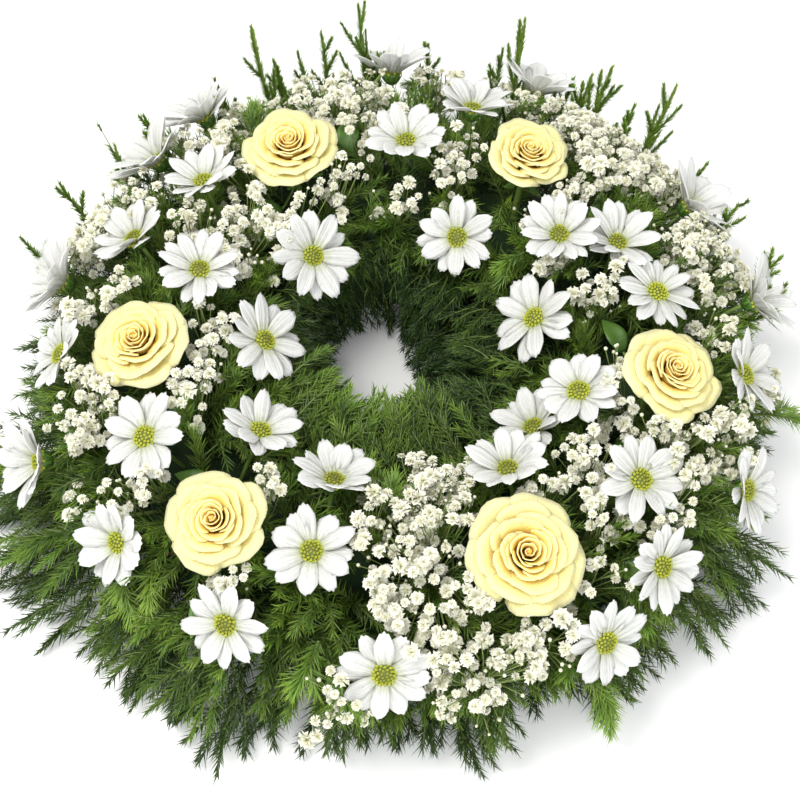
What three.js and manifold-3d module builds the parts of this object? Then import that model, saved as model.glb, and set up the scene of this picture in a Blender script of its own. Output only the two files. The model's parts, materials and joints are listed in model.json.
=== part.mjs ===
// Funeral wreath. A ring of wet floral foam on a flat base ring holds cream roses, white
// daisy chrysanthemums, gypsophila and sprigs of needle greenery, each by its own stem.
// Millimetres, +Z up. The origin is on the flat underside, at the centre of the ring.

import * as THREE from 'three';
import { mergeVertices } from 'three/addons/utils/BufferGeometryUtils.js';
import Module from 'manifold-3d';

const wasm = await Module();
wasm.setup();

// Driving dimensions: the ring
const RING_SIDES = 20;
const TRAY_INNER = 93;
const TRAY_OUTER = 197;
const TRAY_HEIGHT = 5;
const FOAM_INSET = 2.8;
const FIT_GAP = 0.3;
const FOAM_SHOULDER = 36;
const FOAM_EDGE = 50;
const FOAM_CROWN = 56;
const FOAM_BEVEL = 14;

// Driving dimensions: the stems, which all point at one circle deep in the foam
const ROOT_RADIUS = 144;
const ROOT_HEIGHT = 18;
const ROOT_SHORT = 22;
const STEM_SIDES = 3;
const HOLE_GROWTH = FIT_GAP / Math.cos(Math.PI / STEM_SIDES);
const ROSE_STEM = 2.8;
const DAISY_STEM = 1.6;
const GYPSOPHILA_STEM = 1.5;
const SPRIG_STEM = 1.4;

// The mound that the flowers make, an ellipse in section
const MOUND_RADIUS = 158;
const MOUND_HALF_WIDTH = 105;
const MOUND_BASE = 20;
const MOUND_RISE = 98;

// Roses: degrees round the ring, distance from its axis, height of the face, petal reach
const ROSES = [
  [118, 164, 122, 34],
  [58, 164, 122, 32],
  [-10, 173, 122, 32],
  [-64, 170, 122, 37],
  [-129, 172, 122, 31],
  [-176, 166, 122, 32],
];

// Daisies, in the same terms, then the degrees that their petals rise by: the inner edge,
// the crown, then the outer edge
const DAISIES = [
  [66, 92, 96, 26, 10],
  [14, 90, 94, 29, 5],
  [-34, 101, 90, 27, 24],
  [-55, 114, 106, 27, 32],
  [-112, 106, 98, 27, 28],
  [-143, 108, 98, 27, 24],
  [178, 88, 94, 29, 8],
  [131, 90, 96, 29, 8],
  [35, 126, 116, 28, 28],
  [27, 160, 107, 27, 34],
  [11, 168, 110, 26, 5],
  [-21, 118, 112, 26, 8],
  [-35, 176, 110, 27, 8],
  [89, 152, 112, 29, 24],
  [75, 188, 111, 28, 26],
  [139, 177, 112, 28, 28],
  [157, 192, 104, 28, 28],
  [161, 138, 112, 28, 18],
  [-154, 172, 110, 27, 8],
  [-109, 156, 106, 26, 6],
  [138, 232, 84, 29, 44],
  [167, 232, 84, 29, 44],
  [-178, 218, 92, 27, 12],
  [-161, 238, 80, 28, 38],
  [-141, 216, 90, 27, 22],
  [-118, 212, 92, 26, 8],
  [-92, 216, 92, 27, 6],
  [-58, 228, 84, 26, 8],
  [-44, 216, 94, 26, 12],
  [-24, 234, 84, 27, 18],
  [-5, 220, 94, 28, 14],
  [11, 240, 80, 27, 44],
  [31, 232, 84, 28, 44],
  [67, 244, 80, 27, 44],
  [92, 240, 82, 28, 44],
];

// Gypsophila bunches: degrees, distance, half spread along and across the ring, florets
const BUNCHES = [
  [47, 216, 34, 26, 9],
  [18, 208, 26, 22, 8],
  [-22, 184, 30, 26, 9],
  [-82, 150, 34, 60, 13],
  [-77, 226, 28, 18, 7],
  [151, 226, 34, 24, 8],
  [104, 214, 30, 26, 9],
  [143, 136, 30, 20, 8],
  [-168, 196, 24, 20, 7],
];
const FLORET_RADIUS = 4.2;
const TWIG_RADIUS = 0.6;
const HUB_HEIGHT = 72;
const TWIG_SPACING = 2.6;
const TWIG_LEVELS = 5;

// Greenery: one bough for each eighth of the ring
const BOUGHS = 8;
const OUTER_ARC = { radius: 204, height: 24 };
const INNER_ARC = { radius: 86, height: 30 };
const ARC_HALF_ANGLE = 17;
const NEEDLE_LENGTH = 11;
const NEEDLE_LEAN = 0.75;
const SHOOT_SIDES = 3;

// Small helpers

function radians(degrees) {
  return THREE.MathUtils.degToRad(degrees);
}

function around(degrees, radius, height) {
  const turn = radians(degrees);
  return new THREE.Vector3(radius * Math.cos(turn), radius * Math.sin(turn), height);
}

function moundHeight(radius) {
  const part = (radius - MOUND_RADIUS) / MOUND_HALF_WIDTH;
  return MOUND_BASE + MOUND_RISE * Math.sqrt(Math.max(0, 1 - part * part));
}

// What the scattered numbers are for, and how many each bloom, ring of petals or bunch may use
const FOR = { length: 1, swing: 2, lift: 3, rim: 5, floret: 7, rise: 11 };
const NUMBERS = { rose: 20, ring: 6, bunch: 100, bough: 20 };

// A fixed number between -1 and 1 for each whole number and purpose
function scatter(index, purpose) {
  const wave = Math.sin(index * 12.9898 + purpose * 78.233) * 43758.5453;
  return 2 * (wave - Math.floor(wave)) - 1;
}

function material(color, roughness) {
  return new THREE.MeshStandardMaterial({ color, roughness, metalness: 0 });
}

const MATERIALS = {
  tray: material(0x1f3a26, 0.5),
  foam: material(0x35582f, 0.95),
  rose: material(0xf3e2ac, 0.6),
  daisy: material(0xf6f6f0, 0.6),
  gypsophila: material(0xf1efe2, 0.7),
  needles: material(0x3f6a2c, 0.65),
};

function addMesh(group, name, geometry, look) {
  const mesh = new THREE.Mesh(geometry, look);
  mesh.name = name;
  group.add(mesh);
  return mesh;
}

// Closed surfaces, listed vertex by vertex

class Shell {
  constructor() {
    this.points = [];
    this.faces = [];
  }

  ring(points) {
    const first = this.points.length;
    this.points.push(...points);
    return points.map((_, index) => first + index);
  }

  face(a, b, c) {
    this.faces.push(a, b, c);
  }

  // Joins two rings that may differ in their number of points
  band(lower, upper) {
    let i = 0;
    let j = 0;
    while (i < lower.length || j < upper.length) {
      const a = lower[i % lower.length];
      const b = upper[j % upper.length];
      const lowerFirst = (i + 1) / lower.length <= (j + 1) / upper.length;
      if (j === upper.length || (i < lower.length && lowerFirst)) {
        this.face(a, lower[(i + 1) % lower.length], b);
        i += 1;
      } else {
        this.face(a, upper[(j + 1) % upper.length], b);
        j += 1;
      }
    }
  }

  point(ring, apex) {
    const [tip] = this.ring([apex]);
    ring.forEach((corner, index) => this.face(corner, ring[(index + 1) % ring.length], tip));
  }

  cap(ring) {
    for (let index = 1; index < ring.length - 1; index += 1) {
      this.face(ring[0], ring[index + 1], ring[index]);
    }
  }

  geometry() {
    const geometry = new THREE.BufferGeometry();
    geometry.setFromPoints(this.points);
    geometry.setIndex(this.faces);
    return geometry;
  }
}

function circle(sides, radius, height, phase = 0) {
  return Array.from({ length: sides }, (_, index) => {
    const turn = phase + (2 * Math.PI * index) / sides;
    return new THREE.Vector3(radius * Math.cos(turn), radius * Math.sin(turn), height);
  });
}

// Below this much sideways, a direction counts as upright
const UPRIGHT = 1e-3;

// Two axes across a direction, the first of them level
function across(direction) {
  const side = new THREE.Vector3(-direction.y, direction.x, 0);
  if (side.length() < UPRIGHT) side.set(0, 1, 0);
  side.normalize();
  return [side, new THREE.Vector3().crossVectors(direction, side)];
}

function ringAt(centre, direction, radius, sides) {
  const [u, v] = across(direction);
  return circle(sides, radius, 0).map((corner) => (
    centre.clone().addScaledVector(u, corner.x).addScaledVector(v, corner.y)
  ));
}

// Booleans

const MERGE_WITHIN = 1e-4;

function toSolid(geometry) {
  const bare = geometry.clone();
  bare.deleteAttribute('normal');
  bare.deleteAttribute('uv');
  const merged = mergeVertices(bare, MERGE_WITHIN);
  return new wasm.Manifold(new wasm.Mesh({
    numProp: 3,
    vertProperties: Float32Array.from(merged.attributes.position.array),
    triVerts: Uint32Array.from(merged.index.array),
  }));
}

function toGeometry(solid) {
  const mesh = solid.getMesh();
  const geometry = new THREE.BufferGeometry();
  geometry.setAttribute('position', new THREE.BufferAttribute(mesh.vertProperties, 3));
  geometry.setIndex(new THREE.BufferAttribute(mesh.triVerts, 1));
  return geometry;
}

function fuse(geometries) {
  const [first, ...rest] = geometries.map(toSolid);
  return rest.reduce((sum, solid) => sum.add(solid), first);
}

function turned(profile, sides) {
  const points = profile.map(([radius, height]) => new THREE.Vector2(radius, height));
  return new THREE.LatheGeometry(points, sides).rotateX(Math.PI / 2);
}

// The base ring and the foam

function trayGeometry() {
  return turned([
    [TRAY_INNER, 0],
    [TRAY_OUTER, 0],
    [TRAY_OUTER, TRAY_HEIGHT],
    [TRAY_INNER, TRAY_HEIGHT],
    [TRAY_INNER, 0],
  ], RING_SIDES);
}

function foamGeometry() {
  const inner = TRAY_INNER + FOAM_INSET;
  const outer = TRAY_OUTER - FOAM_INSET;
  const floor = TRAY_HEIGHT + FIT_GAP;
  return turned([
    [inner, floor],
    [outer, floor],
    [outer, FOAM_SHOULDER],
    [outer - FOAM_BEVEL, FOAM_EDGE],
    [ROOT_RADIUS, FOAM_CROWN],
    [inner + FOAM_BEVEL, FOAM_EDGE],
    [inner, FOAM_SHOULDER],
    [inner, floor],
  ], RING_SIDES);
}

// Room taken by the pieces already placed, as rods and discs, so that the next ones stay clear

const taken = [];

function takeRod(from, to, radius) {
  taken.push({ from, to, radius });
}

function takeDisc(centre, axis, radius, below, above) {
  taken.push({ centre, axis, radius, below, above });
}

function distanceTo(item, point) {
  if (item.centre) {
    const offset = point.clone().sub(item.centre);
    const along = offset.dot(item.axis);
    const outward = Math.sqrt(Math.max(0, offset.lengthSq() - along * along)) - item.radius;
    const beyond = Math.max(along - item.above, -item.below - along);
    const outside = Math.hypot(Math.max(outward, 0), Math.max(beyond, 0));
    return outside + Math.min(0, Math.max(outward, beyond));
  }
  const segment = new THREE.Line3(item.from, item.to);
  return segment.closestPointToPoint(point, true, new THREE.Vector3()).distanceTo(point) - item.radius;
}

// Distance to the foam and base ring in section, and to the surface that the wreath lies on
function distanceToBase(point) {
  const radius = Math.hypot(point.x, point.y);
  const toBlock = (inner, outer, top) => Math.hypot(
    Math.max(inner - radius, 0, radius - outer),
    Math.max(point.z - top, 0),
  );
  return Math.min(
    toBlock(TRAY_INNER, TRAY_OUTER, FOAM_SHOULDER),
    toBlock(TRAY_INNER + FOAM_BEVEL, TRAY_OUTER - FOAM_BEVEL, FOAM_CROWN),
    point.z,
  );
}

function clearance(point, others = taken) {
  return others.reduce(
    (least, item) => Math.min(least, distanceTo(item, point)),
    distanceToBase(point),
  );
}

// Stems

// Where a bloom sits, which way it looks, how long its stem is and how steeply its petals rise
function bloomPlace([degrees, radius, height, reach, cup = 0]) {
  const face = around(degrees, radius, height);
  const axis = face.clone().sub(around(degrees, ROOT_RADIUS, ROOT_HEIGHT));
  const stem = axis.length() - ROOT_SHORT;
  axis.normalize();
  const turn = new THREE.Quaternion().setFromUnitVectors(new THREE.Vector3(0, 0, 1), axis);
  return { face, axis, stem, turn, reach, cup };
}

function holeGeometry(place, radius, phase) {
  const hole = new Shell();
  const wide = radius + HOLE_GROWTH;
  const bottom = hole.ring(circle(STEM_SIDES, wide, -place.stem - FIT_GAP, phase));
  const top = hole.ring(circle(STEM_SIDES, wide, 0, phase));
  hole.cap(bottom);
  hole.band(bottom, top);
  hole.cap([...top].reverse());
  return hole.geometry().applyQuaternion(place.turn).translate(...place.face.toArray());
}

// Daisies: broad blunt petals with a groove, round a domed disc

const DAISY_PETALS = 9;
const DAISY_DISC = 6.6;
const DISC_SIDES = 5;
const DISC_TOP_RADIUS = 4.8;
const DISC_SHOULDER = 2.9;
const DISC_TOP = 3.9;
const PETAL_HALF_WIDTH = 6.8;
const PETAL_THICKNESS = 0.9;
const PETAL_GROOVE = 1;
const GROOVE_PLACE = 0.45;
const PETAL_SHORTER = 0.1;
const PETAL_SWING = 0.03;
const PETAL_LIFT = 3;
const PETAL_WIDEST_TURN = 0.44;
const CALYX_DEPTH = 8;
const DAISY_PHASE = -Math.PI / DAISY_PETALS;

function daisyGeometry(place, number) {
  const flower = new Shell();
  const step = (2 * Math.PI) / DAISY_PETALS;
  const half = PETAL_THICKNESS / 2;
  const stemEnd = flower.ring(circle(STEM_SIDES, DAISY_STEM, -place.stem, DAISY_PHASE));
  const stemTop = flower.ring(circle(STEM_SIDES, DAISY_STEM, -CALYX_DEPTH, DAISY_PHASE));
  const under = flower.ring(circle(DAISY_PETALS, DAISY_DISC, -half, DAISY_PHASE));
  const over = flower.ring(circle(DAISY_PETALS, DAISY_DISC, half, DAISY_PHASE));
  const dome = flower.ring(circle(DISC_SIDES, DISC_TOP_RADIUS, DISC_SHOULDER, DAISY_PHASE));
  flower.cap(stemEnd);
  flower.band(stemEnd, stemTop);
  flower.band(stemTop, under);
  flower.band(over, dome);
  flower.point(dome, new THREE.Vector3(0, 0, DISC_TOP));
  for (let petal = 0; petal < DAISY_PETALS; petal += 1) {
    const seed = number * DAISY_PETALS + petal;
    const length = place.reach * (1 - PETAL_SHORTER * (0.5 + 0.5 * scatter(seed, FOR.length))) - DAISY_DISC;
    const middle = petal * step + PETAL_SWING * scatter(seed, FOR.swing);
    const slope = radians(place.cup + PETAL_LIFT * scatter(seed, FOR.lift));
    const run = length * Math.cos(slope);
    const rise = length * Math.sin(slope);
    const out = DAISY_DISC + run;
    const valley = DAISY_DISC + run * GROOVE_PLACE;
    const outline = (turn, radius, height) => [half, -half].map((side) => new THREE.Vector3(
      radius * Math.cos(middle + turn), radius * Math.sin(middle + turn), height + side,
    ));
    const spread = Math.min(Math.asin(PETAL_HALF_WIDTH / out), PETAL_WIDEST_TURN * step);
    const [a, aUnder] = flower.ring(outline(-spread, out, rise));
    const [b, bUnder] = flower.ring(outline(spread, out, rise));
    const [c, cUnder] = flower.ring(outline(0, valley, rise * GROOVE_PLACE - PETAL_GROOVE));
    const next = (petal + 1) % DAISY_PETALS;
    const edge = [over[petal], a, b, over[next]];
    const edgeUnder = [under[petal], aUnder, bUnder, under[next]];
    for (let corner = 0; corner < edge.length; corner += 1) {
      const after = (corner + 1) % edge.length;
      flower.face(edge[corner], edge[after], c);
      flower.face(edgeUnder[after], edgeUnder[corner], cUnder);
      if (after > 0) {
        flower.face(edgeUnder[corner], edgeUnder[after], edge[after]);
        flower.face(edgeUnder[corner], edge[after], edge[corner]);
      }
    }
  }
  return flower.geometry();
}

// Roses: rings of cupped petals, each raised from a narrow strip round the core

const ROSE_DEPTH = 0.95;
const ROSE_PETAL_THICKNESS = 1.2;
const ROSE_PETAL_FILL = 0.96;
const ROSE_PETAL_TWIST = 0.045;
const ROSE_CORNER_DROP = 0.1;
const ROSE_RIM_WAVE = 0.03;
// Each ring's petals, their cells across, and distances and heights for a reach of 1:
// the strip's lower and upper edge, the middle of the petal, and its rim
const ROSE_RINGS = [
  { petals: 5, cells: 3, low: [0.24, -0.76], high: [0.26, -0.7], section: [[0.76, -0.48], [1, -0.04]] },
  { petals: 4, cells: 3, low: [0.27, -0.5], high: [0.27, -0.44], section: [[0.54, -0.27], [0.64, 0.05]] },
  { petals: 3, cells: 2, low: [0.24, -0.28], high: [0.22, -0.22], section: [[0.35, -0.1], [0.32, 0.11]] },
];
const ROSE_BUD_TOP = 0.08;

// One petal: an outer and an inner face over the strip, with sides and a rim
function raisePetal(flower, outer, inner) {
  const rows = outer.length - 1;
  const cells = outer[0].length - 1;
  for (let row = 0; row < rows; row += 1) {
    for (let cell = 0; cell < cells; cell += 1) {
      flower.face(outer[row][cell], outer[row][cell + 1], outer[row + 1][cell + 1]);
      flower.face(outer[row][cell], outer[row + 1][cell + 1], outer[row + 1][cell]);
      flower.face(inner[row][cell], inner[row + 1][cell + 1], inner[row][cell + 1]);
      flower.face(inner[row][cell], inner[row + 1][cell], inner[row + 1][cell + 1]);
    }
    flower.face(outer[row][0], outer[row + 1][0], inner[row + 1][0]);
    flower.face(outer[row][0], inner[row + 1][0], inner[row][0]);
    flower.face(outer[row + 1][cells], outer[row][cells], inner[row][cells]);
    flower.face(outer[row + 1][cells], inner[row][cells], inner[row + 1][cells]);
  }
  for (let cell = 0; cell < cells; cell += 1) {
    flower.face(outer[rows][cell], outer[rows][cell + 1], inner[rows][cell + 1]);
    flower.face(outer[rows][cell], inner[rows][cell + 1], inner[rows][cell]);
  }
}

function raiseRing(flower, ring, low, high, reach, seed) {
  const step = (2 * Math.PI) / ring.petals;
  const stations = [ring.high, ...ring.section];
  for (let petal = 0; petal < ring.petals; petal += 1) {
    const columns = Array.from({ length: ring.cells + 1 }, (_, cell) => (2 * cell) / ring.cells - 1);
    const strip = (row) => columns.map((_, cell) => row[(petal * ring.cells + cell) % row.length]);
    const outer = [strip(low)];
    const inner = [strip(high)];
    const wave = ROSE_RIM_WAVE * scatter(seed + petal, FOR.rim);
    ring.section.forEach(([radius, height], row) => {
      const [before, after] = [stations[row], stations[Math.min(row + 2, ring.section.length)]];
      const slope = new THREE.Vector2(after[0] - before[0], after[1] - before[1]).normalize();
      const onRim = row === ring.section.length - 1;
      const spots = (inward) => columns.map((column) => {
        const turn = step * (petal + 0.5 * (1 + column * ROSE_PETAL_FILL));
        const drop = onRim ? wave - ROSE_CORNER_DROP * column ** 4 : 0;
        const distance = reach * (radius - ROSE_PETAL_TWIST * column) - inward * slope.y;
        const level = reach * (height + drop) + inward * slope.x;
        return new THREE.Vector3(distance * Math.cos(turn), distance * Math.sin(turn), level);
      });
      outer.push(flower.ring(spots(0)));
      inner.push(flower.ring(spots(ROSE_PETAL_THICKNESS)));
    });
    raisePetal(flower, outer, inner);
  }
}

function roseGeometry(place, number) {
  const flower = new Shell();
  const { reach } = place;
  const stemEnd = flower.ring(circle(STEM_SIDES, ROSE_STEM, -place.stem));
  let below = flower.ring(circle(STEM_SIDES, ROSE_STEM, -ROSE_DEPTH * reach));
  flower.cap(stemEnd);
  flower.band(stemEnd, below);
  ROSE_RINGS.forEach((ring, layer) => {
    const corners = ring.petals * ring.cells;
    const low = flower.ring(circle(corners, ring.low[0] * reach, ring.low[1] * reach));
    const high = flower.ring(circle(corners, ring.high[0] * reach, ring.high[1] * reach));
    flower.band(below, low);
    raiseRing(flower, ring, low, high, reach, number * NUMBERS.rose + layer * NUMBERS.ring);
    below = high;
  });
  flower.point(below, new THREE.Vector3(0, 0, ROSE_BUD_TOP * reach));
  return flower.geometry();
}

// A rod along several points, and a twig that ends in a floret

function rodGeometry(points, radius, sides) {
  const rod = new Shell();
  const rings = points.map((point, index) => {
    const before = points[Math.max(index - 1, 0)];
    const after = points[Math.min(index + 1, points.length - 1)];
    return rod.ring(ringAt(point, after.clone().sub(before).normalize(), radius, sides));
  });
  rod.cap(rings[0]);
  rings.slice(1).forEach((ring, index) => rod.band(rings[index], ring));
  rod.cap([...rings[rings.length - 1]].reverse());
  return rod.geometry();
}

const FLORET_SIDES = 3;
const FLORET_TOP = 0.8;

function floretGeometry(hub, centre) {
  const twig = new Shell();
  const direction = centre.clone().sub(hub).normalize();
  const at = (distance) => centre.clone().addScaledVector(direction, distance);
  const root = twig.ring(ringAt(hub, direction, TWIG_RADIUS, FLORET_SIDES));
  const neck = twig.ring(ringAt(at(-FLORET_RADIUS), direction, TWIG_RADIUS, FLORET_SIDES));
  const belly = twig.ring(ringAt(centre, direction, FLORET_RADIUS, FLORET_SIDES));
  twig.cap(root);
  twig.band(root, neck);
  twig.band(neck, belly);
  twig.point(belly, at(FLORET_RADIUS * FLORET_TOP));
  return twig.geometry();
}

// Gypsophila: one stem in the foam, and twigs that spread from its top to the florets

const TWIG_TESTS = 8;
const TWIG_ROOM = 1;
const FLORET_ROOM = 0.6;
const FLORET_SPACING = 2;
const FLORET_SINK = 4;
const FLORET_SCATTER = 6;
const TRIES_PER_FLORET = 4;
const GOLDEN_ANGLE = Math.PI * (3 - Math.sqrt(5));

function twigIsClear(hub, centre, others) {
  for (let step = 1; step < TWIG_TESTS; step += 1) {
    const point = hub.clone().lerp(centre, step / TWIG_TESTS);
    if (clearance(point, others) < TWIG_RADIUS + TWIG_ROOM) return false;
  }
  return clearance(centre, others) > FLORET_RADIUS + FLORET_ROOM;
}

function bunchPieces([degrees, radius, along, deep, florets], number) {
  const others = [...taken];
  const root = around(degrees, ROOT_RADIUS, ROOT_HEIGHT);
  const spot = around(degrees, radius, HUB_HEIGHT);
  const way = spot.clone().sub(root).normalize();
  const foot = root.clone().addScaledVector(way, ROOT_SHORT);
  const hub = spot.clone();
  const top = hub.clone().addScaledVector(way, 1);
  const pieces = [rodGeometry([foot, top], GYPSOPHILA_STEM, STEM_SIDES)];
  takeRod(foot, hub, GYPSOPHILA_STEM);
  const tries = florets * TRIES_PER_FLORET;
  let made = 0;
  for (let attempt = 0; attempt < tries && made < florets; attempt += 1) {
    const out = Math.sqrt((attempt + 0.5) / tries);
    const turn = attempt * GOLDEN_ANGLE;
    const distance = radius + deep * out * Math.sin(turn);
    const swing = THREE.MathUtils.radToDeg((along * out * Math.cos(turn)) / radius);
    const rise = FLORET_SCATTER * scatter(number * NUMBERS.bunch + attempt, FOR.floret) - FLORET_SINK;
    const height = moundHeight(distance) + rise;
    const centre = around(degrees + swing, distance, height);
    const node = hub.clone().addScaledVector(way, -TWIG_SPACING * (made % TWIG_LEVELS));
    if (twigIsClear(node, centre, others)) {
      others.push({ from: centre, to: centre, radius: FLORET_RADIUS + FLORET_SPACING });
      pieces.push(floretGeometry(node, centre));
      takeRod(node, centre, TWIG_RADIUS);
      takeRod(centre, centre, FLORET_RADIUS);
      made += 1;
    }
  }
  return { pieces, foot, hub, way };
}

// Needle shoots: a slim stem whose every facet is drawn out into one needle

const SHOOT_ROOM = 2.5;
const NEEDLE_ROOM = 0.8;
const SHOOT_TIP = 9;
const SHOOT_BARE = 14;
const SHOOT_TAPER = 0.4;
const SHOOT_WIDTH = 0.9 * SPRIG_STEM;
const SHOOT_SPARE = 0.75 * NEEDLE_LENGTH;

// Walks on from a start, bending up or down, for as long as there is room
function shootPath(start, heading, bend, step, segments) {
  const way = heading.clone().normalize();
  const points = [start.clone(), start.clone().addScaledVector(way, SHOOT_BARE)];
  for (let segment = 0; segment < segments; segment += 1) {
    const last = points[points.length - 1];
    const next = last.clone().addScaledVector(way, step);
    const half = last.clone().lerp(next, 0.5);
    if (Math.min(clearance(next), clearance(half)) < SHOOT_ROOM) break;
    points.push(next);
    way.z += bend;
    way.normalize();
  }
  return points;
}

// The longest needle, in quarters of the full length, that stays clear of its neighbours
function needleReach(base, direction, length) {
  for (let quarters = 4; quarters > 1; quarters -= 1) {
    const reach = (length * quarters) / 4;
    const tip = base.clone().addScaledVector(direction, reach);
    const half = base.clone().addScaledVector(direction, reach / 2);
    if (Math.min(clearance(tip), clearance(half)) > NEEDLE_ROOM) return reach;
  }
  return 0;
}

function shootGeometry(points) {
  const shoot = new Shell();
  const last = points.length - 1;
  const wayAt = (index) => {
    const before = points[Math.max(index - 1, 0)];
    const after = points[Math.min(index + 1, last)];
    return after.clone().sub(before).normalize();
  };
  const widthAt = (part) => SHOOT_WIDTH * (1 - SHOOT_TAPER * part);
  const rings = points.map((point, index) => (
    shoot.ring(ringAt(point, wayAt(index), widthAt(index / last), SHOOT_SIDES))
  ));
  shoot.cap(rings[0]);
  shoot.band(rings[0], rings[1]);
  for (let segment = 1; segment < last; segment += 1) {
    const middle = points[segment].clone().lerp(points[segment + 1], 0.5);
    for (let side = 0; side < SHOOT_SIDES; side += 1) {
      const next = (side + 1) % SHOOT_SIDES;
      const corners = [
        rings[segment][side], rings[segment][next],
        rings[segment + 1][next], rings[segment + 1][side],
      ];
      const base = new THREE.Vector3();
      corners.forEach((corner) => base.addScaledVector(shoot.points[corner], 1 / corners.length));
      const direction = base.clone().sub(middle).normalize();
      direction.addScaledVector(wayAt(segment), NEEDLE_LEAN).normalize();
      const reach = needleReach(base, direction, NEEDLE_LENGTH);
      if (reach > 0) {
        shoot.point(corners, base.addScaledVector(direction, reach));
      } else {
        shoot.face(corners[0], corners[1], corners[2]);
        shoot.face(corners[0], corners[2], corners[3]);
      }
    }
  }
  const end = points[last].clone();
  const tip = Math.max(needleReach(end, wayAt(last), SHOOT_TIP), 1);
  shoot.point(rings[last], end.addScaledVector(wayAt(last), tip));
  return shoot.geometry();
}

// A bough: a main stem that crosses the foam, an arc along each flank, and its shoots

const FLANK_HEIGHT = 42;
const FLANK_ROOM = 4;
const SHOULDER_HEIGHT = 55;
const RIDGE_HEIGHT = 60;
const CROSSING = [
  [OUTER_ARC.radius, OUTER_ARC.height],
  [TRAY_OUTER + FLANK_ROOM, FLANK_HEIGHT],
  [TRAY_OUTER - FOAM_BEVEL, SHOULDER_HEIGHT],
  [ROOT_RADIUS, RIDGE_HEIGHT],
  [TRAY_INNER + FOAM_BEVEL, SHOULDER_HEIGHT],
  [TRAY_INNER - FLANK_ROOM, FLANK_HEIGHT],
  [INNER_ARC.radius, INNER_ARC.height],
];
const PEG_RADIUS = 165;
const PEG_TOP = 57.5;
const PEG_FOOT = 34;
const CROSSING_ROOM = 2;
const CROSSING_OFFSETS = [0, 2, -2, 4, -4, 6, -6, 8, -8, 10, -10, 12, -12, 14, -14];

// Shoots: which arc, how far along it, and the yaw, rise and bend that they set out with.
// Those that stand up grow on the back half of the ring only.
const BACK_BOUGHS = 4;
const SHOOTS = [
  { arc: OUTER_ARC, side: -15, yaw: -4, rise: 8, bend: 0.02 },
  { arc: OUTER_ARC, side: -6, yaw: 2, rise: -4, bend: 0.03 },
  { arc: OUTER_ARC, side: 0, yaw: -2, rise: 50, bend: 0, backOnly: true },
  { arc: OUTER_ARC, side: 6, yaw: 0, rise: 14, bend: 0 },
  { arc: OUTER_ARC, side: 15, yaw: 3, rise: -2, bend: 0.03 },
  { arc: INNER_ARC, side: -10, yaw: 180, rise: 40, bend: 0.03 },
  { arc: INNER_ARC, side: 10, yaw: 182, rise: 4, bend: 0.05 },
];
const OUTER_STEP = 18;
const OUTER_SEGMENTS = 3;
const INNER_STEP = 10;
const INNER_SEGMENTS = 2;
// Tufts that rise from the crossing between the blooms, one kind on every other bough
const TUFTS = [
  { radius: 190, height: 50, yaw: 20, rise: 66 },
  { radius: 128, height: 57, yaw: 200, rise: 66 },
];
const TUFT_BEND = 0.02;
const TUFT_STEP = 12;
const TUFT_SEGMENTS = 2;
const RISE_SCATTER = 3;
// How long the outer and inner shoots of each bough are, against the usual length
const BOUGH_REACH = [1, 1, 1, 1.03, 1.05, 1.08, 0.98, 1];
const HOLE_REACH = [2.1, 1, 1, 1, 1, 1.2, 1.3, 2.1];

function direction(degrees, rise) {
  return around(degrees, Math.cos(radians(rise)), Math.sin(radians(rise)));
}

// The crossing keeps as far as it can from the stems that pass through the foam
function crossingAngle(middle) {
  const room = (offset) => {
    const line = CROSSING.slice(1, -1).map(([radius, height]) => around(middle + offset, radius, height));
    line.push(around(middle + offset, PEG_RADIUS, PEG_FOOT));
    line.push(around(middle + offset, PEG_RADIUS, PEG_TOP));
    const between = line.slice(1).map((point, index) => point.clone().lerp(line[index], 0.5));
    const distances = [...line, ...between].map((point) => (
      taken.reduce((least, item) => Math.min(least, distanceTo(item, point)), Infinity)
    ));
    return Math.min(...distances);
  };
  const enough = SPRIG_STEM + CROSSING_ROOM;
  const free = CROSSING_OFFSETS.find((offset) => room(offset) > enough);
  return middle + (free === undefined ? 0 : free);
}

function arcPoints({ radius, height }, middle) {
  return [-1, -1 / 3, 1 / 3, 1].map((part) => around(middle + part * ARC_HALF_ANGLE, radius, height));
}

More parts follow.
